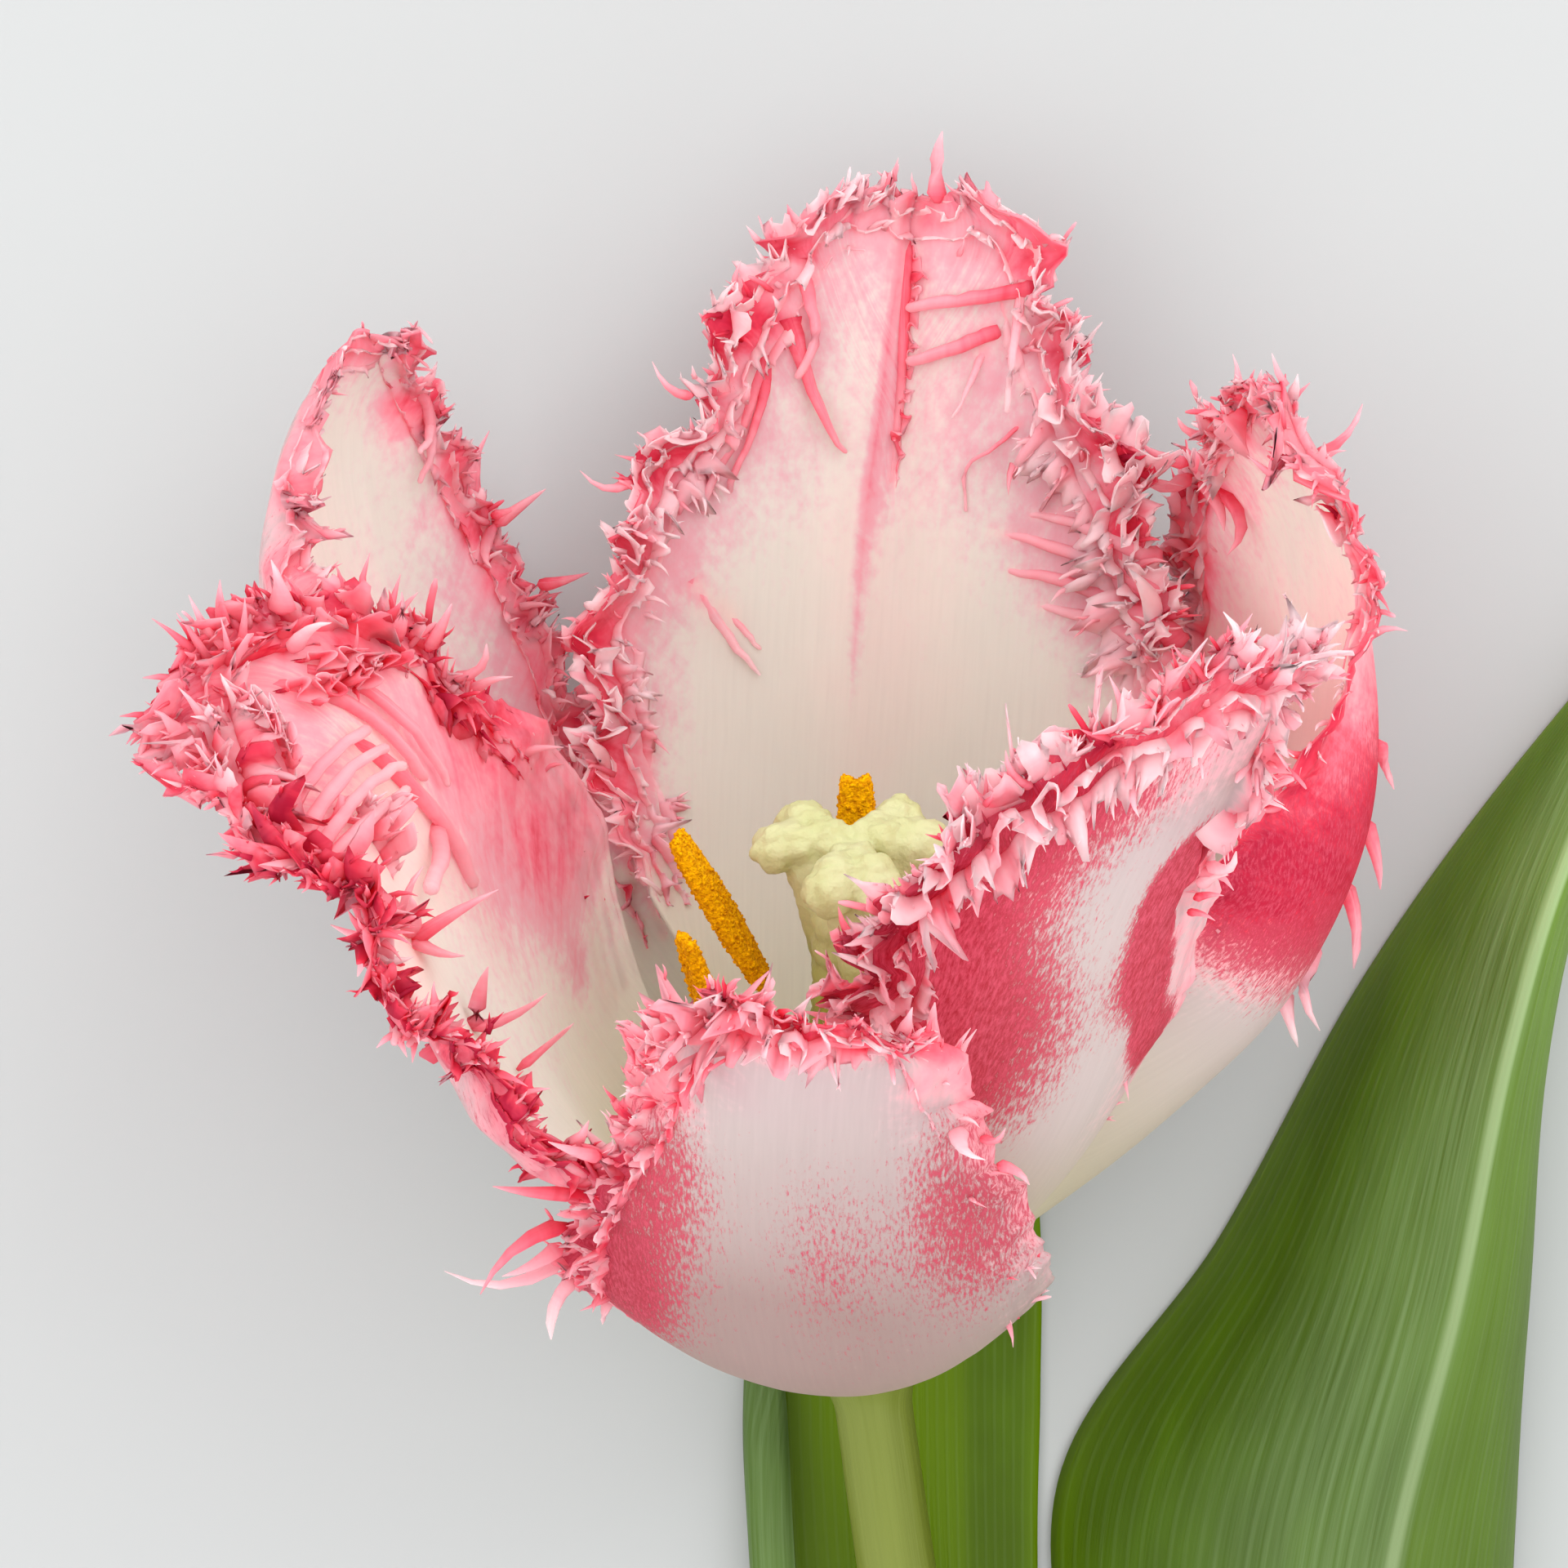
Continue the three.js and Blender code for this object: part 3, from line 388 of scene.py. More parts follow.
def fringeTree():
    # fingers of tissue scattered where "ragged" is high, leaning toward the margin
    tree, given = newTree("fringe", [
        ("Geometry", "NodeSocketGeometry", None), ("Fingers", "NodeSocketCollection", None),
        ("Density", "NodeSocketFloat", 1.0), ("Shortest", "NodeSocketFloat", 0.6),
        ("Longest", "NodeSocketFloat", 1.6), ("Spread", "NodeSocketFloat", 0.5),
        ("Seed", "NodeSocketInt", 1), ("Material", "NodeSocketMaterial", None)])
    read = {n: addNode(tree, "GeometryNodeInputNamedAttribute", (n,), data_type=kind)
            for n, kind in (("ragged", "FLOAT"), ("lift", "FLOAT"), ("reach", "FLOAT"), ("outward", "FLOAT_VECTOR"))}
    density = addNode(tree, "ShaderNodeMath", (read["ragged"], given["Density"]), operation="MULTIPLY")
    points = addNode(tree, "GeometryNodeDistributePointsOnFaces",
                     {"Mesh": given["Geometry"], "Density": density, "Seed": given["Seed"]},
                     distribute_method="RANDOM")
    wobble = addNode(tree, "FunctionNodeRandomValue", {0: (-1, -1, -1), 1: (1, 1, 1), "Seed": given["Seed"]},
                     data_type="FLOAT_VECTOR")
    wobble = addNode(tree, "ShaderNodeVectorMath", {0: wobble, "Scale": given["Spread"]}, operation="SCALE")
    up = addNode(tree, "ShaderNodeVectorMath", {0: points.node.outputs["Normal"], "Scale": read["lift"]},
                 operation="SCALE")
    aim = addNode(tree, "ShaderNodeVectorMath", (read["outward"], wobble), operation="ADD")
    aim = addNode(tree, "ShaderNodeVectorMath", (aim, up), operation="ADD")
    turned = addNode(tree, "FunctionNodeAlignRotationToVector", {"Vector": aim}, axis="Z")
    spin = addNode(tree, "FunctionNodeRandomValue", {2: 0.0, 3: 2 * math.pi, "Seed": given["Seed"]}, 1,
                   data_type="FLOAT")
    spin = addNode(tree, "ShaderNodeCombineXYZ", {"Z": spin})
    spin = addNode(tree, "FunctionNodeEulerToRotation", (spin,))
    turned = addNode(tree, "FunctionNodeRotateRotation", (turned, spin), rotation_space="LOCAL")
    size = addNode(tree, "FunctionNodeRandomValue", {2: 0.0, 3: 1.0, "Seed": given["Seed"]}, 1, data_type="FLOAT")
    size = addNode(tree, "ShaderNodeMath", (size, 2.0), operation="POWER")
    size = addNode(tree, "ShaderNodeMapRange", {0: size, 3: given["Shortest"], 4: given["Longest"]})
    size = addNode(tree, "ShaderNodeMath", (size, read["reach"]), operation="MULTIPLY")
    shapes = addNode(tree, "GeometryNodeCollectionInfo",
                     {"Collection": given["Fingers"], "Separate Children": True, "Reset Children": True})
    placed = addNode(tree, "GeometryNodeInstanceOnPoints",
                     {"Points": points, "Instance": shapes, "Pick Instance": True, "Rotation": turned, "Scale": size})
    tone = addNode(tree, "FunctionNodeRandomValue", {2: 0.0, 3: 1.0, "Seed": 77}, 1, data_type="FLOAT")
    for label, value in (("tone", tone), ("side", onFringe)):
        placed = addNode(tree, "GeometryNodeStoreNamedAttribute", {"Geometry": placed, "Name": label, "Value": value},
                         data_type="FLOAT", domain="INSTANCE")
    return endTree(tree, given, placed)


def tube(line, flat, sides):
    # closed tube through points with radius [x, y, z, r], flat from 0 to 1, round; along runs from 0 to 1
    line = np.array(line, float)
    centres, radii = line[:, :3], line[:, 3]
    tangents = unit(np.gradient(centres, axis=0))
    aside = unit(np.cross(tangents, unit(np.array([0.11, 1.0, 0.13]))))
    over = np.cross(tangents, aside)
    angles = np.linspace(0, 2 * math.pi, sides, endpoint=False)
    ring = (centres[:, None] + (aside[:, None] * np.cos(angles)[None, :, None]
            + over[:, None] * np.sin(angles)[None, :, None] * flat) * radii[:, None, None])
    rings = len(line)
    faces = [[i * sides + k, i * sides + (k + 1) % sides, (i + 1) * sides + (k + 1) % sides, (i + 1) * sides + k]
             for i in range(rings - 1) for k in range(sides)]
    faces.append(list(reversed(range(sides))))
    faces.append([(rings - 1) * sides + k for k in range(sides)])
    return ring.reshape(-1, 3), faces, np.repeat(np.linspace(0, 1, rings), sides)


def gather(parts):
    # joins parts of points, faces and any lists of values for the points
    faces, start = [], 0
    for part in parts:
        faces += [[start + i for i in face] for face in part[1]]
        start += len(part[0])
    return [np.vstack([p[0] for p in parts]), faces] + [
        np.concatenate([p[k] for p in parts]) for k in range(2, len(parts[0]))]


# a finger is 1 unit tall and scaled to its millimetres when placed: flatness, then [x, y, z, radius] along each arm
fingerLines = {
    "spike": (0.7, [[0, 0, -0.15, 0.18], [0.04, 0.02, 0.3, 0.12], [0.05, 0.03, 0.65, 0.06], [0, 0.02, 1, 0.01]]),
    "lean": (0.7, [[0, 0, -0.15, 0.16], [0.08, 0.02, 0.25, 0.12], [0.25, 0.05, 0.58, 0.065],
                   [0.45, 0.03, 0.9, 0.01]]),
    "soft": (0.9, [[0, 0, -0.15, 0.1], [-0.03, 0.03, 0.35, 0.1], [0.02, 0.02, 0.8, 0.09], [0.05, 0, 1, 0.04]]),
    "tongue": (0.45, [[0, 0, -0.15, 0.24], [0.02, 0.04, 0.25, 0.2], [0.03, -0.05, 0.65, 0.1], [0.02, 0, 1, 0.012]]),
    "hooked": (0.7, [[0, 0, -0.15, 0.17], [0.08, 0.06, 0.3, 0.13], [0.26, 0.04, 0.6, 0.07],
                     [0.5, -0.04, 0.82, 0.01]]),
    "fork": (0.7, [[0, 0, -0.15, 0.18], [0.01, 0.02, 0.2, 0.15], [0.01, 0.01, 0.55, 0.06]],
             [[0, 0, 0.2, 0.1], [0.14, 0, 0.5, 0.07], [0.32, 0.03, 0.9, 0.01]],
             [[0, 0, 0.2, 0.1], [-0.16, 0.04, 0.45, 0.065], [-0.28, 0.05, 0.75, 0.01]]),
}


def fingerShapes():
    collection = bpy.data.collections.new("fingers")
    for name, (flatness, *lines) in fingerLines.items():
        points, faces, along = gather([tube(line, flatness, 5) for line in lines])
        obj = meshObject("finger_" + name, points / mm, faces, {"along": along}, np.zeros((len(points), 2)))
        scene.collection.objects.unlink(obj)
        collection.objects.link(obj)
    scene.collection.children.link(collection)
    return collection


# The bloom's own directions, as in the solid model

bloomPlace = np.array([-5.8, 71.0, 0.0])
bloomBase = bloomPlace + np.array([0, 0, 13.0])
bloomTilt, bloomLean = math.radians(30), math.radians(-1.5)
axis = np.array([math.sin(bloomLean) * math.cos(bloomTilt), math.cos(bloomLean) * math.cos(bloomTilt),
                 math.sin(bloomTilt)])
sideways = unit(np.array([axis[1], -axis[0], 0.0]))
downward = np.cross(axis, sideways)


def outwardAt(degrees):
    angle = math.radians(degrees)
    return sideways * math.cos(angle) + downward * math.sin(angle)


def bloomPoint(degrees, radius, height):
    return bloomBase + outwardAt(degrees) * radius + axis * height


# Tepals
# Curves are [place, value] keys from base to tip. lean, veer, width, cup, low, high, twist, wave and crease give
# the shape, close to the solid model's.
# turn: degrees around the bloom. length: in mm. seed: for all that is random.
# lean, veer, twist: degrees away from the axis, sideways and around the tepal's own length.
# width: from the middle to the margin in mm. cup: degrees that a half bends inward; curl: more of it at the margin.
# low and high: changes of one half, where across is below 0, and of the other.
# wave: height in mm of ripples along the margin, as many as waves. crease: depth in mm of the fold in the middle.
# start: place where the fringe begins. band: width of the crumpled margin in mm. reach: length of the fringe in mm.
# edge, tint: strength and added pink of the fringe, from one end of the margin, 0, over the tip, 0.5, to 1.
# shows: 1 where the fringe folds over the inner face, -1 over the outer. tufts: how many, placed at random.
# inside, outside, streaks and lilac: patches of colour as [place, across, their sizes, strength]; on the front tepal
# lilac is painted shade.
# paths: fingers that lie on the inner face as [radius, radius at the tip, paleness, (place, across, lift), ...].
# ridges: ruffles on the inner face as [places, across, length, pink, lean].
# spikes: single ones as [place, across, offset of the tip in x, y and z, radius, paleness].

flat, even = [[0, 0], [1, 0]], [[0, 1], [1, 1]]
tepalDefaults = {"veer": flat, "twist": flat, "low": {}, "high": {}, "crease": 0, "start": 0.36, "shows": 1,
                 "tufts": 3, "lilac": [], "paths": [], "ridges": []}
tepals = {
    "tepal_inner_back": {
        "turn": 88, "length": 73, "inner": True, "seed": 11,
        "lean": [[0, 60], [0.12, 50], [0.3, 31], [0.55, 18], [1, 26]],
        "veer": [[0, 0], [0.3, -3], [1, -5]],
        "width": [[0, 3.2], [0.08, 5.5], [0.2, 12], [0.4, 20], [0.55, 22.5], [0.7, 20], [0.82, 16],
                  [0.92, 11.5], [0.97, 8], [1, 4]],
        "cup": [[0, 60], [0.15, 70], [0.3, 62], [0.6, 42], [0.85, 26], [1, 20]],
        "low": {"width": [[0, 1], [0.6, 1], [0.72, 0.92], [0.85, 0.84], [1, 1]]},
        "high": {"width": [[0, 1], [0.7, 1], [0.8, 0.88], [0.9, 0.88], [1, 1]]},
        "wave": 1.0, "waves": 5, "crease": 1.3, "band": 5.0, "reach": 2.9,
        "edge": [[0, 0.9], [0.25, 1.3], [0.42, 0.75], [0.5, 0.4], [0.58, 0.9], [0.8, 0.8], [1, 0.8]],
        "tint": [[0, -0.36], [0.2, -0.44], [0.36, -0.34], [0.5, -0.24], [0.8, -0.28], [1, -0.14]],
        "inside": [[0.87, 0, 0.24, 1.4, 0.19], [0.69, 0.8, 0.12, 0.4, 0.1], [0.5, 0.98, 0.14, 0.3, 0.16],
                   [0.62, 0.85, 0.1, 0.25, 0.06], [0.65, -0.75, 0.09, 0.35, 0.24], [0.76, -0.4, 0.1, 0.3, 0.06],
                   # the last two, narrow along the middle, are pink painted as shade along the crease
                   [0.74, 0.09, 0.22, 0.03, 0.38], [0.84, 0.02, 0.12, 0.03, 0.4]],
        "outside": [[0.65, 0, 0.35, 0.35, 0.25]],
        "streaks": [[0.55, 0, 0.3, 0.25, 0.5], [0.6, 0.9, 0.3, 0.3, 0.4], [0.6, -0.9, 0.3, 0.3, 0.4]],
        "paths": [[0.55, 0.35, 0.3, (0.90, 0.63, 0.6), (0.86, 0.47, 1.0), (0.82, 0.52, 0.8)],
                  [0.8, 0.2, 0.15, (0.84, 0.53, 0.3), (0.79, 0.36, 0.8), (0.75, 0.20, 0.6)],
                  [0.45, 0.3, 0.25, (0.80, 0.70, 0.5), (0.74, 0.68, 1.0), (0.69, 0.67, 0.8)],
                  [0.4, 0.25, 0.25, (0.80, 0.65, 0.5), (0.75, 0.62, 1.0), (0.71, 0.59, 0.8)],
                  [0.6, 0.45, 0.3, (0.91, -0.62, 0.6), (0.90, -0.3, 1.0), (0.89, -0.04, 0.8)],
                  [0.55, 0.45, 0.35, (0.865, -0.4, 0.6), (0.85, -0.2, 1.0), (0.84, -0.06, 0.8)],
                  [0.3, 0.1, 0.8, (0.84, -0.4, 0.6), (0.81, -0.32, 1.2), (0.79, -0.25, 1.0)],
                  [0.35, 0.2, 0.9, (0.89, -0.70, 0.9), (0.84, -0.6, 1.8), (0.80, -0.53, 1.2)],
                  [0.15, 0.13, 0.4, (0.78, -0.50, 0.6), (0.76, -0.38, 1.0), (0.75, -0.27, 0.7), (0.70, -0.27, 0.5)],
                  [0.8, 0.12, 0.75, (0.61, 0.58, 0.0), (0.575, 0.48, 0.6), (0.54, 0.38, 0.8)],
                  [0.5, 0.12, 0.6, (0.60, 0.5, 0.0), (0.58, 0.43, 0.5), (0.565, 0.38, 0.5)],
                  [0.4, 0.3, 0.1, (0.93, 0.02, 0.3), (0.84, 0.01, 0.4), (0.77, 0.0, 0.4), (0.72, 0.02, 0.2)],
                  [1.0, 0.3, 0.35, (0.655, -0.95, 0.6), (0.68, -0.62, 0.3), (0.69, -0.32, 0.0)],
                  [1.0, 0.3, 0.25, (0.625, -0.95, 0.6), (0.65, -0.62, 0.3), (0.655, -0.38, 0.0)],
                  [0.9, 0.3, 0.5, (0.60, -0.95, 0.6), (0.62, -0.68, 0.3), (0.625, -0.46, 0.0)],
                  [0.8, 0.3, 0.4, (0.69, -0.95, 0.6), (0.705, -0.72, 0.3), (0.71, -0.5, 0.0)]],
        "ridges": [[(0.95, 0.86, 0.72), (-0.03, -0.02, 0.0), 1.1, 0.62, -0.8]],
        "spikes": [[0.99, -0.3, 0.3, 4.6, 1.5, 0.8, 0.3], [0.98, 0.1, -1.6, 2.4, 1.5, 0.6, 0.3],
                   [0.72, 0.98, -3.4, 0.6, 1.5, 0.6, 0.3], [0.8, 0.98, -2.6, 2.2, 1.5, 0.6, 0.3]],
    },
    "tepal_outer_back_left": {
        "turn": 148, "length": 79, "inner": False, "seed": 23,
        "lean": [[0, 78], [0.12, 64], [0.3, 40], [0.5, 30], [0.7, 20], [0.84, 4], [0.93, -20], [1, -40]],
        "veer": [[0, 0], [0.5, 0], [1, -6]],
        "width": [[0, 3.6], [0.08, 7], [0.2, 11.5], [0.4, 15], [0.58, 16], [0.75, 14.5], [0.88, 11],
                  [0.96, 7.5], [1, 3]],
        "cup": [[0, 60], [0.3, 50], [0.6, 45], [0.85, 50], [1, 55]],
        "low": {"width": [[0.5, 1], [0.7, 1.15]], "cup": [[0.5, 0], [0.75, -25], [1, -30]]},
        "high": {"cup": [[0, -22], [0.25, -10], [0.4, 0]], "curl": [[0.4, 0], [0.6, 70], [1, 90]]},
        "wave": 0.7, "waves": 6, "band": 4.0, "reach": 1.9, "tufts": 2,
        "edge": [[0, 0.9], [0.3, 1], [0.42, 0.8], [0.5, 0.5], [0.58, 0.8], [0.7, 1.1], [1, 0.9]],
        "tint": [[0, 0.1], [0.4, 0], [0.5, -0.2], [0.6, -0.2], [1, -0.08]],
        "inside": [[0.8, 0, 0.3, 1.2, 0.08], [0.6, -0.6, 0.16, 0.5, 0.14]],
        "outside": [[0.7, 0, 0.3, 0.6, 0.2]],
        "streaks": [[0.5, 0, 0.35, 0.4, 0.5], [0.7, 0.8, 0.3, 0.4, 0.45], [0.7, -0.8, 0.3, 0.4, 0.45]],
        "paths": [[0.65, 0.2, 0.35, (0.88, -0.95, 0.3), (0.84, -0.82, 1.4), (0.81, -0.65, 1.4)],
                  [0.5, 0.2, 0.5, (0.87, -0.95, 0.3), (0.85, -0.8, 1.8), (0.845, -0.68, 2.2)]],
        "spikes": [[0.73, -0.97, 0.1, 6.2, 1.5, 0.75, 0.05], [0.73, -0.97, 3.4, 2.4, 1.0, 0.8, 0.35],
                   [0.74, -0.97, 2.6, 1.0, 0.0, 0.6, 0.2], [0.73, -0.97, -1.9, 2.2, 2.0, 0.5, 0.3],
                   [0.73, -0.97, -0.2, -3.0, 2.0, 0.55, 0.45], [0.66, -0.98, 3.2, 0.8, 1.0, 0.8, 0.1],
                   [0.6, -0.98, 3.0, -0.6, 1.0, 0.8, 0.2], [0.55, -0.98, 2.8, 1.2, 1.0, 0.8, 0.4]],
    },
    "tepal_inner_left": {
        "turn": 190, "length": 66, "inner": True, "seed": 37,
        "lean": [[0, 70], [0.1, 54], [0.22, 30], [0.5, 21], [0.62, 23], [0.75, 34], [0.85, 60], [0.93, 90],
                 [1, 112]],
        "width": [[0, 3.4], [0.08, 6], [0.2, 12], [0.35, 19], [0.5, 23], [0.65, 22.5], [0.78, 19], [0.88, 14],
                  [0.95, 8.5], [1, 3]],
        "cup": [[0, 60], [0.15, 64], [0.3, 50], [0.6, 22], [0.85, 16], [1, 16]],
        "low": {"width": [[0, 1], [0.35, 0.88], [0.5, 0.88], [0.7, 0.76], [1, 1]]},
        "high": {"width": [[0, 1], [0.3, 0.95], [0.5, 1.05], [0.8, 1]],
                 "cup": [[0, 0], [0.25, -16], [0.5, -22], [0.8, -16], [1, -10]],
                 "curl": [[0.2, 0], [0.38, 80], [0.55, 80], [0.8, 40], [1, 20]]},
        "twist": [[0, 0], [0.3, 2], [0.55, 15], [1, 18]],
        "wave": 0.9, "waves": 6, "band": 6.5, "reach": 3.1,
        "edge": [[0, 0.05], [0.17, 0.1], [0.26, 0.9], [0.5, 1.3], [0.75, 1], [1, 0.8]],
        "tint": [[0, 0.3], [0.4, 0.26], [0.5, 0.06], [0.6, 0.42], [1, 0.4]],
        "inside": [[0.55, -0.05, 0.22, 0.5, 0.15], [0.6, -0.6, 0.14, 0.42, 0.36], [0.5, -0.72, 0.07, 0.3, 0.22],
                   [0.74, -0.6, 0.1, 0.3, 0.14], [0.9, 0, 0.1, 1.2, 0.2], [0.4, -0.6, 0.03, 0.1, 0.2]],
        "outside": [[0.8, 0, 0.2, 1, 0.3]],
        "streaks": [[0.6, 0.85, 0.25, 0.4, 0.42], [0.5, -0.6, 0.3, 0.5, 0.4], [0.7, 0, 0.3, 0.3, 0.5]],
        "paths": [[0.6, 0.4, 0.6, (0.87, 0.52, 0.8), (0.84, 0.2, 1.8), (0.79, -0.15, 1.4)],
                  [0.55, 0.4, 0.75, (0.85, 0.54, 0.8), (0.82, 0.22, 2.2), (0.77, -0.1, 1.6)],
                  [0.6, 0.4, 0.5, (0.89, 0.47, 0.8), (0.86, 0.18, 1.6), (0.81, -0.2, 1.4)],
                  [0.55, 0.4, 0.65, (0.83, 0.52, 0.8), (0.80, 0.27, 2.0), (0.76, 0.0, 1.6)],
                  [0.65, 0.45, 0.35, (0.86, -0.34, 0.6), (0.78, -0.28, 1.0), (0.72, -0.25, 0.6)],
                  [0.7, 0.55, 0.35, (0.77, -0.13, 0.6), (0.68, -0.11, 1.0), (0.61, -0.10, 0.6)],
                  [0.65, 0.55, 0.55, (0.69, -0.06, 0.6), (0.70, 0.14, 1.8), (0.71, 0.32, 1.6)],
                  [0.5, 0.35, 0.4, (0.82, -0.47, 0.6), (0.75, -0.4, 1.0), (0.69, -0.36, 0.7)]],
        "ridges": [[(0.95, 0.9, 0.88), (-0.5, 0.0, 0.45), 2.6, 0.32, 0.4],
                   [(0.9, 0.84, 0.8), (-0.3, -0.45, -0.7), 2.4, 0.5, 0.5],
                   [(0.86, 0.8, 0.74), (0.45, 0.3, 0.35), 2.2, 0.4, -0.4],
                   [(0.88, 0.82, 0.76), (-0.55, -0.65, -0.85), 2.0, 0.55, 0.4]],
        "spikes": [[0.71, 0.5, -4.1, 1.1, 1.0, 0.9, 0.4], [0.71, 0.5, -2.4, -2.2, 0.5, 0.9, 0.4],
                   [0.70, 0.5, -0.5, -5.0, 0.0, 0.9, 0.3], [0.70, 0.48, 5.4, 3.2, 1.0, 0.9, 0.35],
                   [0.71, 0.5, 0.3, 2.6, 2.5, 0.8, 0.55], [0.70, 0.48, 3.3, -1.0, 1.0, 0.8, 0.4],
                   [0.71, 0.48, 1.0, 4.2, 1.0, 0.8, 0.3], [0.57, 0.42, 0.9, 4.0, 1.5, 0.8, 0.3],
                   [0.57, 0.42, 4.7, 2.3, 1.0, 0.7, 0.3], [0.58, 0.42, -4.0, -0.3, 0.0, 0.7, 0.4],
                   [0.57, 0.42, -0.6, -2.8, 0.0, 0.7, 0.4], [0.94, -0.86, -1.5, 3.0, 1.0, 0.6, 0.4],
                   [0.93, -0.9, -0.2, 3.0, 1.0, 0.6, 0.1], [0.93, -0.6, -0.5, 3.2, 1.5, 0.4, 0.2],
                   [0.92, -0.7, 0.4, 3.2, 1.5, 0.35, 0.2], [0.89, -0.86, -0.6, 3.4, 1.0, 1.0, 0.5],
                   [0.88, -0.6, 2.6, 1.8, 2.0, 0.8, 0.9], [0.80, -0.8, 0.8, 3.2, 1.5, 0.7, 0.2],
                   [0.77, -0.85, 1.6, 3.0, 1.5, 0.7, 0.25], [0.73, -0.88, 2.4, 2.2, 1.5, 0.7, 0.35],
                   [0.70, -0.9, 2.8, 1.0, 1.5, 0.7, 0.45], [0.48, 0.3, 3.6, 3.0, 1.5, 0.5, 0.3]],
    },
    "tepal_outer_front": {
        "turn": 261, "length": 65, "inner": False, "seed": 41,
        "lean": [[0, 86], [0.12, 72], [0.3, 38], [0.55, 24], [1, 32]],
        "veer": [[0, 0], [0.3, 0], [1, 10]],
        "width": [[0, 3.6], [0.08, 8], [0.2, 14], [0.35, 17], [0.5, 16], [0.7, 13], [0.85, 10.5], [0.94, 8],
                  [1, 3]],
        "cup": [[0, 60], [0.3, 50], [0.6, 44], [0.85, 40], [1, 35]],
        "low": {"width": [[0, 1], [0.25, 1.06], [0.5, 1], [0.75, 0.87], [1, 1]],
                "cup": [[0, 0], [0.25, -8], [0.5, -12], [0.8, 0]]},
        "wave": 0.6, "waves": 6, "start": 0.24, "band": 3.6, "reach": 2.1, "shows": -1, "tufts": 0,
        "edge": [[0, 0.9], [0.3, 1.1], [0.4, 1.1], [0.46, 1.9], [0.54, 1.7], [0.6, 0.5], [0.66, 0.25], [0.72, 0.08],
                 [1, 0.03]],
        "tint": [[0, 0.1], [0.36, 0.08], [0.5, -0.05], [1, -0.1]],
        "inside": [[0.9, 0, 0.15, 1.2, 0.2]],
        "outside": [[0.97, 0, 0.05, 1.2, 0.3], [0.45, -0.95, 0.25, 0.2, 0.25], [0.7, 0.98, 0.2, 0.12, 0.15]],
        "streaks": [[0.56, -0.8, 0.24, 0.45, 0.45], [0.34, -0.8, 0.14, 0.34, 0.34], [0.6, 0.8, 0.22, 0.36, 0.38],
                    [0.6, 0.12, 0.17, 0.26, 0.17], [0.42, 0.3, 0.2, 0.5, 0.1], [0.96, 0, 0.07, 1.2, 0.2],
                    [0.55, 0, 0.6, 1.8, 0.27]],
        # these patches are painted shade over the body and toward the base
        "lilac": [[0.58, 0, 0.2, 1.2, 0.35], [0.33, -0.15, 0.2, 1.1, 1]],
        "spikes": [[0.54, -1, -5.2, 0.5, 1.0, 0.9, 0.1], [0.47, -1, -5.4, -4.4, 0.5, 0.9, 0.0],
                   [0.37, -1, -7.6, -0.8, 0.5, 0.8, 0.8], [0.31, -0.98, -1.6, -4.0, 0.0, 0.9, 0.9],
                   [0.62, -1, -3.2, 1.0, 1.0, 0.8, 0.3], [0.42, -1, -3.8, -2.0, 0.5, 0.9, 0.4],
                   [0.58, -1, -3.4, 2.0, 1.5, 0.7, 0.4], [0.27, -0.9, -0.4, -1.6, 0.0, 0.5, 0.7],
                   [0.86, 0.95, -0.6, 3.4, 1.0, 0.7, 0.4], [0.82, 0.92, 1.3, 3.6, 1.5, 0.7, 0.35],
                   [0.78, 0.87, 1.7, 4.4, 1.5, 0.7, 0.5], [0.74, 0.85, 1.6, -2.0, 1.5, 0.7, 0.9],
                   [0.65, 0.97, 2.0, -1.2, 0.5, 0.7, 0.3], [0.7, 0.95, 1.4, 0.6, 1.5, 0.5, 0.2]],
    },
    "tepal_inner_front_right": {
        "turn": 312, "length": 72, "inner": True, "seed": 53,
        "lean": [[0, 50], [0.12, 41], [0.3, 32], [0.55, 22], [1, 22]],
        "veer": [[0, 0], [0.4, 0], [1, 8]],
        "width": [[0, 3.4], [0.08, 6], [0.2, 12.5], [0.4, 21], [0.6, 24], [0.75, 21], [0.87, 14], [0.95, 8],
                  [1, 3]],
        "cup": [[0, 60], [0.15, 70], [0.3, 62], [0.6, 50], [1, 50]],
        "low": {"width": [[0, 1], [0.3, 0.86], [0.6, 0.9], [0.8, 1], [1, 1]]},
        "high": {"width": [[0, 1], [0.3, 0.52], [0.5, 0.3], [0.65, 0.2], [0.8, 0.12], [0.9, 0.2], [1, 0.6]],
                 "cup": [[0, 0], [0.2, -20], [0.6, -28], [1, -20]]},
        "wave": 0.7, "waves": 6, "band": 6.0, "reach": 2.9, "shows": -1,
        "edge": [[0, 0.8], [0.25, 1.05], [0.35, 1.3], [0.55, 1.3], [0.64, 0.9], [0.69, 0.25], [0.72, 0.04],
                 [1, 0.02]],
        "tint": [[0, 0], [0.25, -0.1], [0.35, -0.24], [0.5, -0.3], [0.7, -0.15], [1, 0]],
        "inside": [[0.85, 0, 0.2, 1.2, 0.2]],
        "outside": [[0.7, -0.8, 0.2, 0.3, 0.35], [0.9, -0.6, 0.1, 0.5, 0.2], [0.4, 0.9, 0.2, 0.3, 0.08]],
        "streaks": [[0.7, -0.9, 0.2, 0.5, 0.58], [0.5, -0.85, 0.16, 0.35, 0.5], [0.62, -0.5, 0.34, 0.6, 0.24],
                    [0.5, -0.38, 0.15, 0.3, 0.34], [0.74, -0.09, 0.07, 0.1, 0.95], [0.66, -0.01, 0.1, 0.14, 0.95],
                    [0.56, 0.24, 0.09, 0.24, 0.95], [0.47, 0.6, 0.08, 0.34, 0.85], [0.88, -0.5, 0.1, 0.4, 0.3]],
        "lilac": [[0.92, -0.1, 0.1, 0.4, 0.7]],
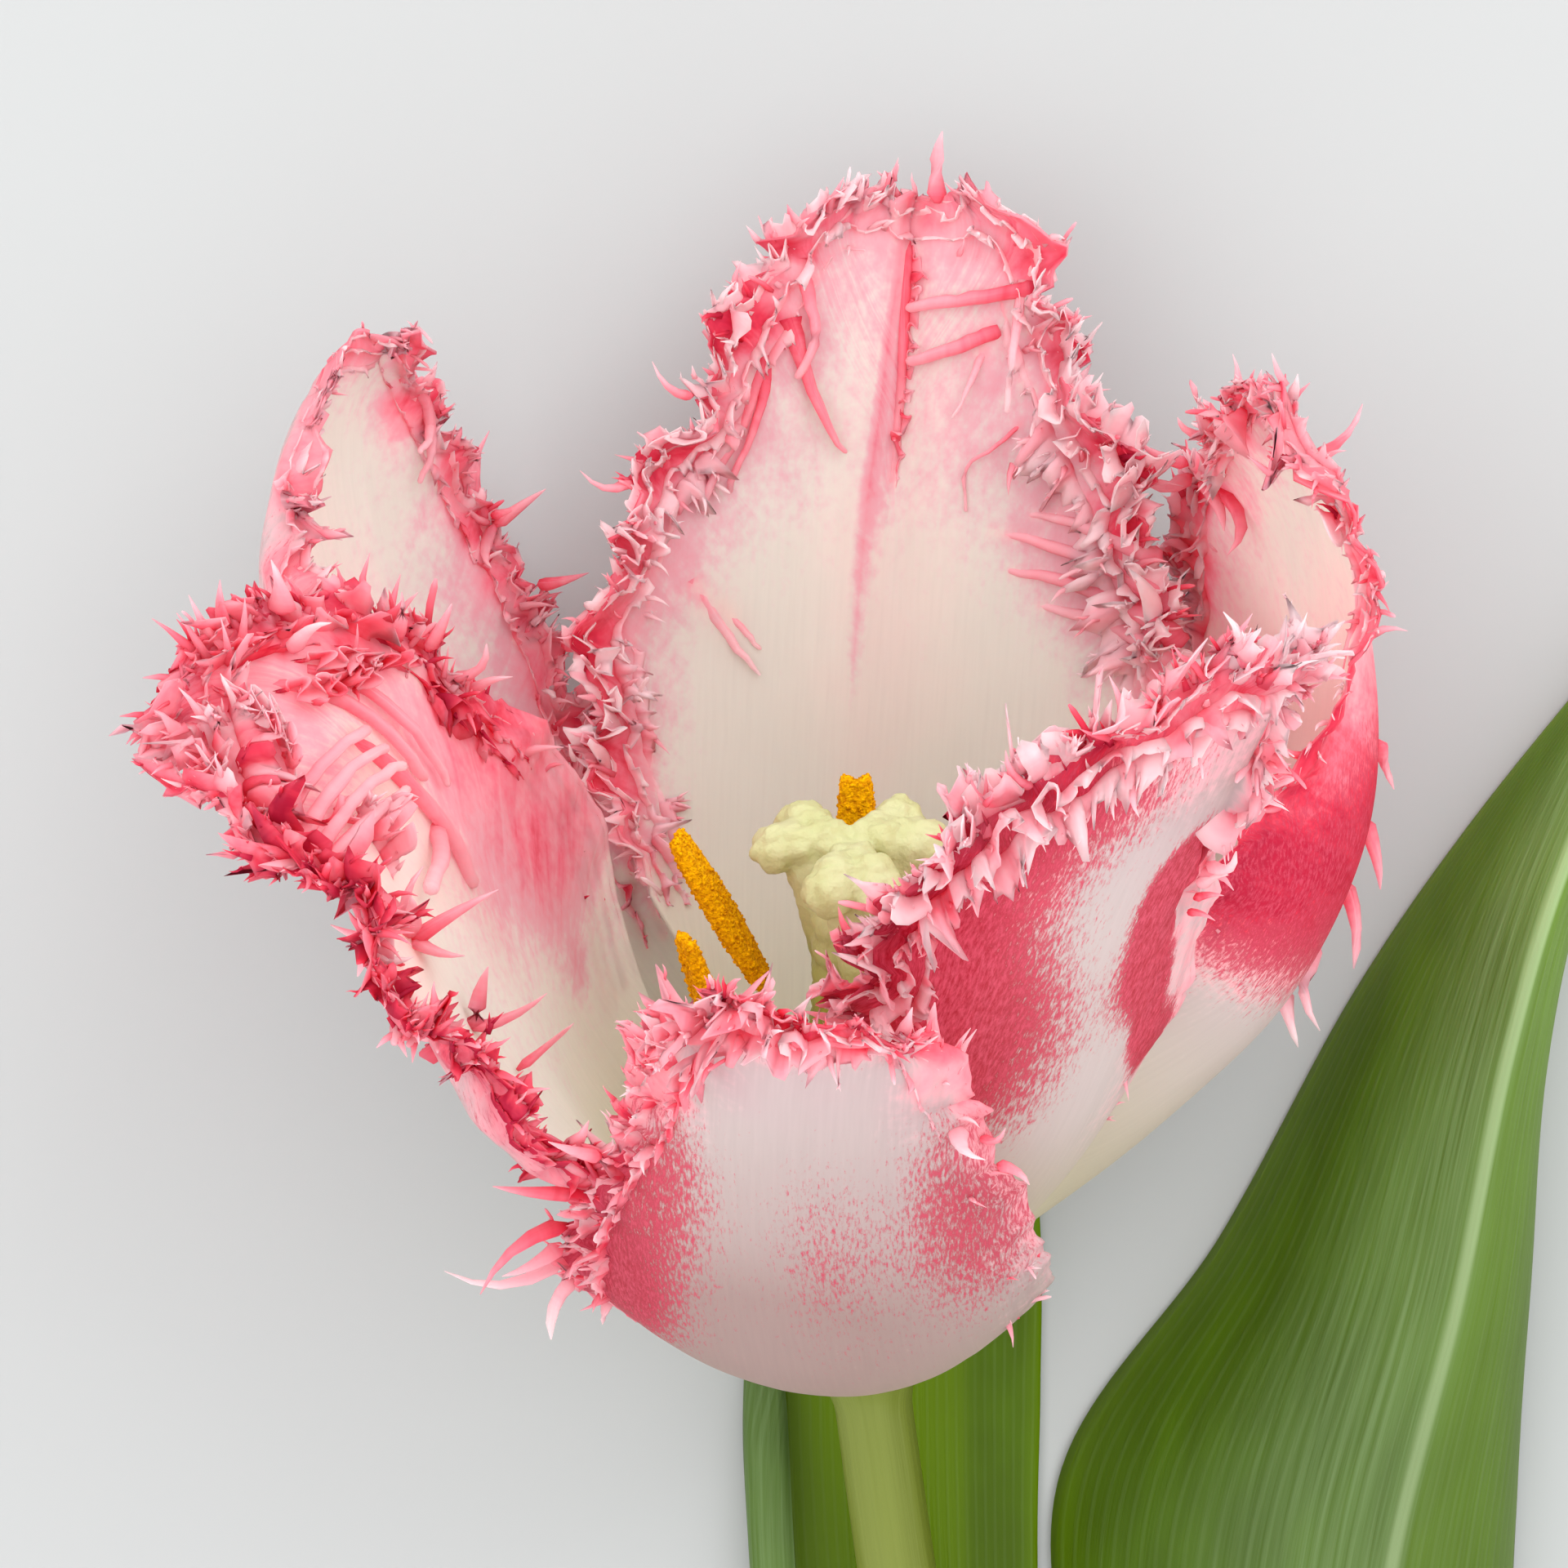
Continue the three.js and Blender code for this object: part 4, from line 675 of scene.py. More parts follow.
        "spikes": [[0.69, 0.28, 1.8, 0.2, 0.8, 0.5, 0.0], [0.67, 0.3, 1.6, -0.5, 0.8, 0.45, 0.0],
                   [0.71, 0.24, 1.7, 0.7, 1.2, 0.75, 0.9], [0.74, 0.2, 1.7, 0.8, 1.2, 0.75, 0.9],
                   [0.98, -0.9, -0.6, 3.4, 1.5, 0.9, 1.0], [0.97, -0.7, 0.4, 2.6, 2.0, 0.7, 0.9],
                   [0.9, -0.8, -1.2, 3.6, 1.5, 0.7, 0.4], [0.84, -0.9, -1.6, 2.2, 1.5, 0.6, 0.3]],
    },
    "tepal_outer_back_right": {
        "turn": 20, "length": 77, "inner": False, "seed": 67,
        "lean": [[0, 60], [0.12, 55], [0.3, 51], [0.5, 25], [0.72, -5], [1, -23]],
        "width": [[0, 3.6], [0.08, 7], [0.2, 12], [0.4, 17], [0.58, 18.5], [0.75, 16.5], [0.88, 11],
                  [0.96, 6.5], [1, 3]],
        "cup": [[0, 60], [0.3, 50], [0.6, 50], [0.85, 55], [1, 60]],
        "low": {"width": [[0, 0.8], [0.15, 1], [0.25, 1.2], [0.4, 1.32], [0.6, 1.26], [0.75, 1.1], [1, 1]],
                "cup": [[0, 10], [0.2, 45], [0.35, 64], [0.5, 62], [0.66, 45], [0.75, 25], [0.85, -15], [1, -40]]},
        "high": {"width": [[0, 0.85], [0.3, 1], [0.5, 1.1], [0.65, 1.34], [0.8, 1.32], [1, 1.1]],
                 "cup": [[0.3, 0], [0.6, -36], [0.85, -34], [1, -10]]},
        "wave": 0.7, "waves": 6, "band": 4.6, "reach": 2.1,
        "edge": [[0, 0.05], [0.22, 0.08], [0.28, 0.4], [0.36, 1.1], [0.44, 1.4], [0.5, 1], [0.7, 1], [1, 0.6]],
        "tint": [[0, 0], [0.5, -0.12], [1, -0.06]],
        "inside": [[0.8, 0.5, 0.2, 0.8, 0.12]],
        "outside": [[0.62, -0.6, 0.17, 0.7, 0.5], [0.57, 0, 0.1, 1.4, 0.34], [0.7, 0, 0.2, 1.4, 0.26]],
        "streaks": [[0.6, -0.4, 0.19, 1.6, 0.62], [0.44, -0.3, 0.1, 1.2, 0.24]],
        "spikes": [[0.94, -0.15, 2.9, 3.2, 1.0, 0.65, 0.3], [0.88, 0.95, -1.8, 1.2, 1.5, 0.6, 0.2],
                   [0.82, 1.0, -3.2, 1.3, 2.0, 0.8, 0.2], [0.79, 1.0, -3.6, 0.0, 2.0, 0.8, 0.4],
                   [0.80, 0.9, 1.2, -3.4, 3.0, 0.8, 0.2], [0.80, 0.8, 0.3, -4.4, 3.0, 0.7, 0.1],
                   [0.75, -0.92, -1.4, 0.6, 1.0, 0.5, 0.1], [0.73, -0.92, -1.8, 0.2, 1.0, 0.5, 0.0],
                   [0.70, -0.92, -1.8, 0.0, 1.0, 0.5, 0.1], [0.66, -0.15, 1.2, -3.2, -0.5, 0.8, 0.3],
                   [0.58, -0.12, 1.1, -4.6, -0.5, 1.0, 0.2], [0.52, -0.12, 0.7, -5.8, -0.5, 1.0, 0.3],
                   [0.46, -0.12, 0.4, -6.0, -0.5, 1.0, 0.6], [0.41, -0.15, 1.0, -3.8, -0.5, 0.8, 0.9]],
    },
}
tepalRoot, outerRootHeight, innerRootHeight = 4.4, 0.1, 1.6    # mm from the axis and above the bloom's base


def tepalSurface(spec):
    # middle surface of a tepal: place 0 to 1 from base to tip, across -1 to 1 from margin to margin
    steps, bends = 200, 40    # along the middle, and from there to a margin
    share = np.linspace(0, 1, steps + 1)
    step = spec["length"] / steps
    lean = np.radians(through(spec["lean"])(share))
    veer = np.radians(through(spec["veer"])(share))
    run = lambda rates: np.concatenate([[0], np.cumsum(rates[:-1] * step)])
    out, round_ = outwardAt(spec["turn"]), outwardAt(spec["turn"] + 90)
    radius = tepalRoot + run(np.sin(lean))
    height = (innerRootHeight if spec["inner"] else outerRootHeight) + run(np.cos(lean))
    aside = run(np.sin(veer))
    straight = np.sin(lean)[:, None] * out + np.cos(lean)[:, None] * axis
    line = bloomBase + radius[:, None] * out + height[:, None] * axis + aside[:, None] * round_
    acrossLine = np.cos(veer)[:, None] * round_ - np.sin(veer)[:, None] * straight
    outwardLine = np.cos(lean)[:, None] * out - np.sin(lean)[:, None] * axis
    width, cup, twist = (through(spec[k]) for k in ("width", "cup", "twist"))
    halves = [{k: through(spec[half].get(k, none)) for k, none in (("width", even), ("cup", flat), ("curl", flat))}
              for half in ("low", "high")]

    def ofHalf(key, place, across):
        return np.where(across < 0, halves[0][key](place), halves[1][key](place))

    def halfWidth(place, across):
        return width(place) * ofHalf("width", place, across)

    def surface(place, across):
        beyond = np.maximum(place - 1, 0) * spec["length"]
        place = np.clip(place, 0, 1)
        point = between(place, share, line) + beyond[..., None] * straight[-1]
        side, outward = between(place, share, acrossLine), between(place, share, outwardLine)
        tilt = np.radians(twist(place))[..., None]
        side, outward = (side * np.cos(tilt) + outward * np.sin(tilt),
                         outward * np.cos(tilt) - side * np.sin(tilt))
        cups, curls = cup(place) + ofHalf("cup", place, across), ofHalf("curl", place, across)
        size = np.abs(across)
        length = halfWidth(place, across) * size / bends
        sidewaysRun, inwardRun = np.zeros_like(place), np.zeros_like(place)
        for k in range(bends):
            part = size * (k + 0.5) / bends
            bend = np.radians(cups * part + curls * smooth(part, 0.55, 1) * part)
            sidewaysRun += np.cos(bend) * length
            inwardRun += np.sin(bend) * length
        sign = np.sign(across)
        phase = spec["seed"] + 1.9 * sign
        ripple = (np.sin(2 * math.pi * spec["waves"] * place + phase)
                  + 0.45 * np.sin(2 * math.pi * 2.3 * spec["waves"] * place + 2.1 * phase))
        rising = smooth(place, 0.35, 0.75)
        inwardRun += spec["wave"] * ripple * rising * across ** 4
        inwardRun -= spec["crease"] * rising * np.exp(-((across / 0.12) ** 2))
        return point + side * (sidewaysRun * sign)[..., None] - outward * inwardRun[..., None]
    return surface, halfWidth


def patches(spots, place, across):
    # soft spots of colour on the blade
    total = np.zeros_like(place)
    for spotPlace, spotAcross, high, wide, strength in spots:
        distance = ((place - spotPlace) / high) ** 2 + ((across - spotAcross) / wide) ** 2
        total += strength * np.exp(-distance ** 1.4)
    return total


def tepalColours(spec, place, across, u, v, edge, rise, ridge):
    # pink, streaks and lilac of the outer face and, after it, of the inner one, which has no streaks or lilac
    seed, band = spec["seed"], spec["band"]
    drift = softNoise(u, v, 2.6, seed + 20)
    fringe = 0.46 * smooth(edge + 1.5 * drift - 0.9 * ridge, band * 0.95, band * 0.1) * rise
    soft = 0.16 * smooth(edge + 2 * drift, band * 2.4, band * 0.5) * smooth(place, 0.2, 0.5)
    # pink deepens in the hollows between the tongues, on each face: painted shade
    hollowShade = -0.16 * ridge * rise * smooth(edge, band, 1)
    faces = []
    for sign, key in ((1, "outside"), (-1, "inside")):
        pink = fringe + soft + sign * hollowShade + patches(spec[key], place, across)
        streaks, lilac = (patches(spec[k], place, across) * (sign > 0) for k in ("streaks", "lilac"))
        faces.append((np.clip(pink, 0, 1), streaks, lilac * (1 - smooth(pink, 0.2, 0.6))))
    return [both(outer, inner) for outer, inner in zip(*faces)]


def frill(base, out, over, reach, tilt, pink, seed, pitch=3.2, footShade=0.16, patchy=0.0):
    # ruffled ribbon of tissue: it stands on the line base toward out, folds toward over and ends in teeth.
    # pitch: mm from fold to fold. heart: added pink at its foot, painted shade where it meets the blade. patchy: how
    # much of it is missing here and there.
    rows = 6
    rng = np.random.default_rng(seed)
    run = lengthAlong(base)
    teeth = np.cumsum(rng.uniform(0.35, 1.4, int(run[-1] / 0.35) + 4))
    teeth = teeth[:np.searchsorted(teeth, run[-1]) + 1]
    tall = 0.12 + 1.25 * rng.uniform(0, 1, len(teeth)) ** 2.2
    curl, shear, paleness = rng.uniform(-1, 1, (3, len(teeth)))
    middle = np.concatenate([[-1], (teeth[1:] + teeth[:-1]) / 2])
    own = np.clip(np.searchsorted(middle, run) - 1, 0, len(teeth) - 1)
    away = run - teeth[own]
    following = np.append(middle[1:], teeth[-1] + 1)
    gap = np.where(away < 0, teeth[own] - middle[own], following[own] - teeth[own])
    off = np.clip(np.abs(away) / np.maximum(gap, 0.2), 0, 1)
    blunt = (curl > 0.1)[own]
    tooth = tall[own] * np.where(blunt, 0.75 * (1 - off ** 1.8), (1 - off) ** 0.95)
    line = lambda size, k: softNoise(run, np.full(len(run), 5.0 * k), size, seed + k)
    phase = 2 * math.pi * run / pitch + 2.4 * line(4, 1)
    swing = 0.75 + 0.6 * line(5, 2)
    long = reach * (1 + 0.5 * line(6, 3)) * (1 - patchy * smooth(line(3.6, 9), 0.3, -0.3))
    q = np.linspace(0, 1, rows)[:, None]
    angle = np.radians(tilt + 26 * line(6, 4)) * (0.3 + 0.7 * q) + 0.5 * (curl * tall)[own] * q ** 2
    forward = long * (0.5 * q + tooth * q ** 1.9)
    crumple = softNoise(run + 0 * q, reach * q + 9.0, 0.8, seed + 11)
    fold = long * (0.34 * swing * np.sin(phase) * q ** 1.1 + 0.14 * line(0.9, 5) * q + 0.15 * crumple * q)
    slide = (-0.2 * long * swing * np.sin(2 * phase) * q - 0.8 * away * q ** 2
             + 0.5 * long * (shear[own] * tooth) * q ** 2)
    along = unit(np.gradient(base, axis=0))
    toOut = (np.cos(angle)[..., None] * out + np.sin(angle)[..., None] * over)
    toOver = (np.cos(angle)[..., None] * over - np.sin(angle)[..., None] * out)
    grid = base + toOut * forward[..., None] + toOver * fold[..., None] + along * slide[..., None]
    facing = gridNormals(grid)
    thick = (0.13 - 0.09 * q)[..., None]
    points = np.vstack([(grid + side * facing * thick).reshape(-1, 3) for side in (1, -1)])
    # deeper pink where it folds toward over and paler where it folds back, and deeper at its foot: painted shade in
    # the creases, painted light on the folds
    creaseShade = 0.08 * line(0.6, 7) + 0.14 * np.sin(phase) + 0.1 * crumple
    deep = 0.25 * smooth(line(5, 8), 0.15, 0.8)
    shade = pink + creaseShade + deep * (1 - 0.4 * q) - 0.2 * paleness[own] * q + footShade * (1 - q) ** 2
    none = 0 * grid[..., 0]
    margin = np.stack([both(run + none), both(2 - forward), both(none + seed % 97)], -1)
    values = {"place": both(none + fringePlace), "side": both(none + onFringe), "tone": both(none + middleTone),
              "along": both(none + 0.6 * q ** 1.5), "pink": np.clip(both(shade), palestFringe, 1),
              "streaks": both(none), "lilac": both(none), "ragged": both(none + 0.15 + 0.6 * q ** 2),
              "reach": both(none + 1.7 * mm), "lift": both(none), "margin": margin}
    uv = np.stack([both(run + none), both(forward + 3 * seed)], -1)
    return [points, sheetFaces(rows, len(run)), *values.values(), uv, np.vstack([toOut.reshape(-1, 3)] * 2)]


def rosette(centre, facing, radius, reach, pink, seed):
    # ruffled cup of tissue
    facing = unit(np.array(facing, float))
    aside = unit(np.cross(facing, [0.3, 0.8, 0.1]))
    other = np.cross(facing, aside)
    angle = np.linspace(0, 2 * math.pi, max(20, int(2 * math.pi * radius / 0.2)))[:, None]
    spoke = aside * np.cos(angle) + other * np.sin(angle)
    # its foot gets a deeper pink, painted shade
    return frill(np.array(centre) + spoke * radius, unit(facing + 0.8 * spoke), unit(facing * 0.8 - spoke), reach, 0,
                 pink, seed, 2.4, footShade=0.4)


bladeRows, bladeColumns = 104, 78
# ribbons along the margin: mm in from it, tilt in degrees, share of the reach, pink, how patchy
ribbons = [[0.5, 0, 0.6, 0.45, 0], [1.6, -42, 0.85, 0.38, 0.2], [2.0, 34, 0.65, 0.48, 0.4],
           [3.2, -88, 0.8, 0.42, 0.5], [4.4, -140, 0.8, 0.46, 0.8]]
tuftLimits = [(0.15, 0.4), (1.1, 2.4), (0.25, 0.6)]    # radius and reach in mm, pink


def tepalBlade(name, spec):
    # the blade's two faces with all that grows on its margin, as one mesh. u and v: mm across and along it.
    # edge: mm to the nearest margin. ridge: -1 to 1 over the tongues. rise: 0 below the fringe, 1 along it.
    surface, halfWidth = tepalSurface(spec)
    seed, band, start = spec["seed"], spec["band"], spec["start"]
    r = np.linspace(0, 1, bladeRows)
    t = np.linspace(-1, 1, bladeColumns)
    placeLine = 1 - (1 - r) ** 1.12
    acrossLine = np.sign(t) * (0.45 * np.abs(t) + 0.55 * (1 - (1 - np.abs(t)) ** 2))
    place, across = np.meshgrid(placeLine, acrossLine, indexing="ij")
    wide = halfWidth(place, across)
    u, v = across * wide, place * spec["length"]
    rise = smooth(place, start - 0.06, start + 0.1)
    sideGap = (1 - np.abs(across)) * wide
    tipGap = (1 - place) * spec["length"]
    edge = np.minimum(sideGap, tipGap)
    # tongues: ridges that run out to the margin and end there in teeth
    atTip = smooth(sideGap - tipGap, -2.5, 2.5)
    half = np.sign(across) * 50
    bent = 0.9 * softNoise(u, v, 5, seed + 1)
    side = (softNoise(v + 0.35 * sideGap + bent, half + edge * 0.1, 1.5, seed)
            + 0.7 * softNoise(v + bent, half, 0.75, seed + 2) + 0.6 * softNoise(v, half, 4.2, seed + 3))
    tip = (softNoise(u + bent, 7 + edge * 0.1, 1.5, seed + 4) + 0.7 * softNoise(u, 9, 0.75, seed + 5))
    ridge = side * (1 - atTip) + tip * atTip
    strong = through(spec["edge"])

    def strengthAt(place, across):
        climb = np.clip((place - start) / (1 - start), 0, 1) / 2
        return strong(np.where(across < 0, climb, 1 - climb))

    offMiddle = smooth(np.abs(across), 0, 0.5)
    strength = strengthAt(place, across) * offMiddle + strong(0.5) * (1 - offMiddle)
    rise = rise * np.minimum(1, 0.12 + strength)
    near = rise * smooth(edge, band * 1.1, 0)
    close = rise * smooth(edge, band * 0.8, 0.3)
    jagged = across * (1 + (1.5 * side - 0.3) * rise * smooth(np.abs(across), 0.7, 1) / np.maximum(wide, 3))
    reached = place + 1.5 * tip * smooth(place, 0.93, 1) / spec["length"]
    grid = surface(reached, jagged)
    along, right = unit(np.gradient(grid, axis=0)), unit(np.gradient(grid, axis=1))
    normal = unit(np.cross(right, along))
    if np.mean(np.sum(normal[25:75, 26:56] * outwardAt(spec["turn"]), -1)) < 0:
        normal = -normal
    ruffle = 1.3 * near * softNoise(v + u * 0.3, edge * 0.4 + half, 3.6, seed + 6)
    folds = 0.75 * near * ridge + 0.8 * close * lumps(u, v, 1.9, seed + 7)
    pleats = (0.05 * smooth(place, 0.1, 0.4) * softNoise(u, v * 0.05, 1.1, seed + 8)
              + 0.24 * smooth(place, 0.3, 0.55) * softNoise(u, v * 0.05, 2.8, seed + 12))
    swell = 0.35 * smooth(place, 0.15, 0.5) * softNoise(u, v * 0.7, 8, seed + 9)
    slideU = 0.6 * close * lumps(u, v, 1.7, seed + 10)
    slideV = 0.8 * close * lumps(u, v, 1.7, seed + 11)
    grid = (grid + normal * (ruffle + folds + pleats + swell)[..., None]
            + right * slideU[..., None] + along * slideV[..., None])
    facing = unit(np.cross(np.gradient(grid, axis=1), np.gradient(grid, axis=0)))
    facing *= np.sign(np.sum(facing * normal, -1, keepdims=True) + 1e-9)
    facing = unit(facing + 0.4 * normal)
    thick = (0.24 + 0.5 * smooth(edge, 0, 8) * (1 - 0.4 * place))[..., None]
    outer, inner = grid + facing * thick / 2, grid - facing * thick / 2
    faces = sheetFaces(bladeRows, bladeColumns)
    turned = np.cross(grid[51, 42] - grid[50, 42], grid[50, 43] - grid[50, 42])
    if np.dot(turned, normal[50, 42]) < 0:
        faces = [f[::-1] for f in faces]
    sideWeight, tipWeight = 1 / (sideGap + 2), 1 / (tipGap + 2)
    outward = unit(right * (np.sign(across) * sideWeight)[..., None]
                   + along * (tipWeight + 0.3 * sideWeight)[..., None])
    pink, streaks, lilac = tepalColours(spec, place, across, u, v, edge, rise, ridge)
    ragged = rise * strength * (smooth(edge, band, band * 0.2) * 0.4 + 0.9 * smooth(edge, 1.2, 0.2))
    size = u.size
    reach = 0.85 * spec["reach"] * (1 + 0.4 * softNoise(u, v, 5, seed + 12))
    marginRun = (v + 0.8 * edge) * (1 - atTip) + (u + 90) * atTip
    values = {
        "place": both(place), "side": np.repeat([1.0, 0.0], size), "tone": np.full(2 * size, middleTone),
        "along": np.zeros(2 * size), "pink": pink, "streaks": streaks, "lilac": lilac, "ragged": both(ragged),
        "reach": both(reach) * mm, "lift": both(0.15 + 0.9 * smooth(edge, 0.3, 3.0)),
        "margin": np.stack([both(marginRun), both(edge), both(half, half + 7)], -1),
    }
    points = np.vstack([outer.reshape(-1, 3), inner.reshape(-1, 3)])
    uv = np.stack([both(u + 100, u), both(v)], -1)
    parts = [[points, faces, *values.values(), uv, np.vstack([outward.reshape(-1, 3)] * 2)]]

    def marginLine(inset):
        # places along the margin, a little inside it, from one side over the tip to the other
        top = 1 - inset / spec["length"]
        climb = np.linspace(start - 0.04, top, 300)
        low, high = (1 - inset / np.maximum(halfWidth(climb, np.full(300, sign)), 1.3 * inset)
                     for sign in (-1.0, 1.0))
        bridge = np.linspace(-low[-1], high[-1], 42)[1:-1]
        return np.concatenate([climb, np.full(40, top), climb[::-1]]), np.concatenate([-low, bridge, high[::-1]])

    def onBlade(p, a):
        # points on the finished blade, with its ruffles
        i = np.clip(np.searchsorted(placeLine, p) - 1, 0, bladeRows - 2)
        j = np.clip(np.searchsorted(acrossLine, a) - 1, 0, bladeColumns - 2)
        f = ((p - placeLine[i]) / (placeLine[i + 1] - placeLine[i]))[:, None]
        g = ((a - acrossLine[j]) / (acrossLine[j + 1] - acrossLine[j]))[:, None]
        f, g = np.clip(f, 0, 1), np.clip(g, 0, 1)
        return ((grid[i, j] * (1 - g) + grid[i, j + 1] * g) * (1 - f)
                + (grid[i + 1, j] * (1 - g) + grid[i + 1, j + 1] * g) * f)

    def outerSide(p, a):
        # direction away from the outer face
        aside, ahead = surface(p, a + 0.02) - surface(p, a - 0.02), surface(p + 0.01, a) - surface(p - 0.01, a)
        return unit(np.cross(aside, ahead)) * overSign

    overSign = 1
    overSign = np.sign(np.sum(outerSide(np.array([0.4]), np.array([0.1]))[0] * outwardAt(spec["turn"])))
    outs = surface(*marginLine(0.01)) - surface(*marginLine(3.0))
    outs = unit(np.stack([np.convolve(np.pad(outs[:, k], 10, "edge"), np.ones(21) / 21, "valid")
                          for k in range(3)], -1))
    pinker = through(spec["tint"])
    for k, (inset, tilt, share, level, patchy) in enumerate(ribbons[:5 if spec["inner"] else 4]):
        p, a = marginLine(inset)
        base = onBlade(p, a)
        run = lengthAlong(base)
        at = np.arange(0, run[-1], 0.23)
        follow = lambda table: between(at, run, table)
        ends = smooth(at, at[0], at[0] + 4) * smooth(at, at[-1], at[-1] - 4)
        tall = share * spec["reach"] * (0.35 + 0.65 * ends) * strong(at / run[-1])
        parts.append(frill(follow(base), unit(follow(outs)), unit(follow(outerSide(p, a))), tall,
                           tilt * spec["shows"], level + pinker(at / run[-1]), 1000 * (k + 1) + seed, patchy=patchy))
    rng = np.random.default_rng(seed)
    tuftPlaces, tuftAcross = marginLine(1.8)
    tufts = [[tuftPlaces[i], tuftAcross[i], *(rng.uniform(*limits) for limits in tuftLimits)]
             for i in rng.integers(60, 580, spec["tufts"])]
    tufts = [t for t in tufts if strengthAt(t[0], t[1]) > 0.5]
    for k, (spotPlace, spotAcross, radius, reach, level) in enumerate(tufts):
        spot = np.array([spotPlace]), np.array([spotAcross])
        facing = -outerSide(*spot)[0] * spec["shows"]
        centre = surface(*spot)[0] + facing * 0.2
        parts.append(rosette(centre, facing + rng.uniform(-0.4, 0.4, 3), radius, reach, level, 50 * k + seed))
    for places, acrosses, reach, level, lean in spec["ridges"]:
        p, a = (through([[i / (len(c) - 1), x] for i, x in enumerate(c)])(np.linspace(0, 1, 120))
                for c in (places, acrosses))
        up = -outerSide(p, a)
        aside = unit(surface(p, a + 0.02) - surface(p, a - 0.02))
        ends = smooth(np.linspace(0, 1, 120), 0, 0.2) * smooth(np.linspace(0, 1, 120), 1, 0.8)
        parts.append(frill(onBlade(p, a) + up * 0.15, unit(up + lean * aside), aside, reach * (0.2 + ends), 0, level,
                           seed + 5, 1.8))
    for line, pale, flat in singleFingers(spec, surface, rng):
        points, tubeFaces, tubeAlong = tube(line, flat, 8)
        n = len(points)
        made = {key: np.zeros(n) for key in values}
        made["margin"] = np.stack([30 * len(parts) + np.arange(n) % 8 * 0.3, 4 * tubeAlong, 0 * tubeAlong], -1)
        # the tubes are a deeper pink toward their feet: painted shade
        made.update(place=np.full(n, fringePlace), side=np.full(n, onFringe), tone=np.full(n, middleTone),
                    along=tubeAlong, pink=0.66 - 0.5 * pale + 0.22 * (1 - tubeAlong) ** 2)
        spot = np.stack([tubeAlong * 4 + 30 * len(parts), np.arange(n) * 0.1], -1)
        parts.append([points, tubeFaces, *made.values(), spot, np.zeros((n, 3))])
    points, faces, *rest = gather(parts)
    values = dict(zip(values, rest[:-2]))
    values["outward"] = rest[-1]
    return meshObject("petal_" + name[6:], points, faces, values, rest[-2])


def singleFingers(spec, surface, rng):
    # tubes sunk in the blade, each with its paleness and flatness
    tubes = []
    for first, last, pale, *stops in spec["paths"]:
        stops = np.array(stops)
        stops = np.vstack([stops[0] + 0.7 * (stops[0] - stops[1]), stops])
        stops[0] = min(stops[0, 0], 0.965), np.clip(stops[0, 1], -0.96, 0.96), -0.4
        s = np.linspace(0, 1, 12)
        line = between(s, np.linspace(0, 1, len(stops)), stops)
        line = (line + np.vstack([line[:1], line[:-1]]) + np.vstack([line[1:], line[-1:]])) / 3
        points = surface(line[:, 0], line[:, 1])
        step = surface(line[:, 0] + 0.01, line[:, 1]) - surface(line[:, 0] - 0.01, line[:, 1])
        aside = surface(line[:, 0], line[:, 1] + 0.02) - surface(line[:, 0], line[:, 1] - 0.02)
        over = unit(np.cross(aside, step))
        over *= np.sign(np.sum(over * -outwardAt(spec["turn"]), -1, keepdims=True))
        radii = (first + (last - first) * s) * (1 + 0.35 * (1 - s) ** 3 + 0.1 * rng.uniform(-1, 1, 12))
        points = points + over * line[:, 2:] + 0.12 * rng.uniform(-1, 1, (12, 3)) * s[:, None]
        points = np.vstack([points, points[-1] + 0.6 * last * unit(points[-1] - points[-2])])
        radii = np.append(radii, radii[-1] * 0.5)
        radii[-2] *= 0.95
        tubes.append((np.hstack([points, radii[:, None]]), pale, 0.85))
    for spotPlace, spotAcross, dx, dy, dz, radius, pale in spec["spikes"]:
        tip = np.array([dx, dy, dz])
        near = surface(spotPlace + 0.01 * np.array([0, -1, 1, 0, 0]),
                       spotAcross + 0.02 * np.array([0, 0, 0, -1, 1]))
        over = unit(np.cross(near[4] - near[3], near[2] - near[1]))
        foot = near[0] + 0.55 * radius * over * np.sign(over @ tip)
        bow = np.cross(unit(tip), rng.normal(size=3)) * 0.12 * np.linalg.norm(tip)
        s = np.array([-0.02, 0.1, 0.3, 0.55, 0.78, 1.0])
        points = foot + s[:, None] * tip + (s * (1 - s))[:, None] * 4 * bow
        radii = radius * np.array([0.35, 1.0, 0.85, 0.62, 0.36, 0.06])
        tubes.append((np.hstack([points, radii[:, None]]), pale, 0.6))
    return tubes


# Stem and leaves
# line: middle of the stem in mm from the bloom's place, below its curve out of the bloom, down to the cut.
# thicker: added to the radius toward the cut. receptacle and dome: its added radius and its height.
stemShape = {
    "line": [[2.1, -16, 5.9], [4.1, -30, 4.4], [6.2, -50, 4.3], [8.4, -80, 4.3], [9.6, -115, 4.3], [9.4, -150, 4.3],
             [8.2, -185, 4.3], [6.4, -219, 3.2]],
    "radius": 2.6, "thicker": 0.6, "receptacle": 2.0, "dome": 3.2, "ribs": 11, "ribHeight": 0.035, "lumps": 0.06}


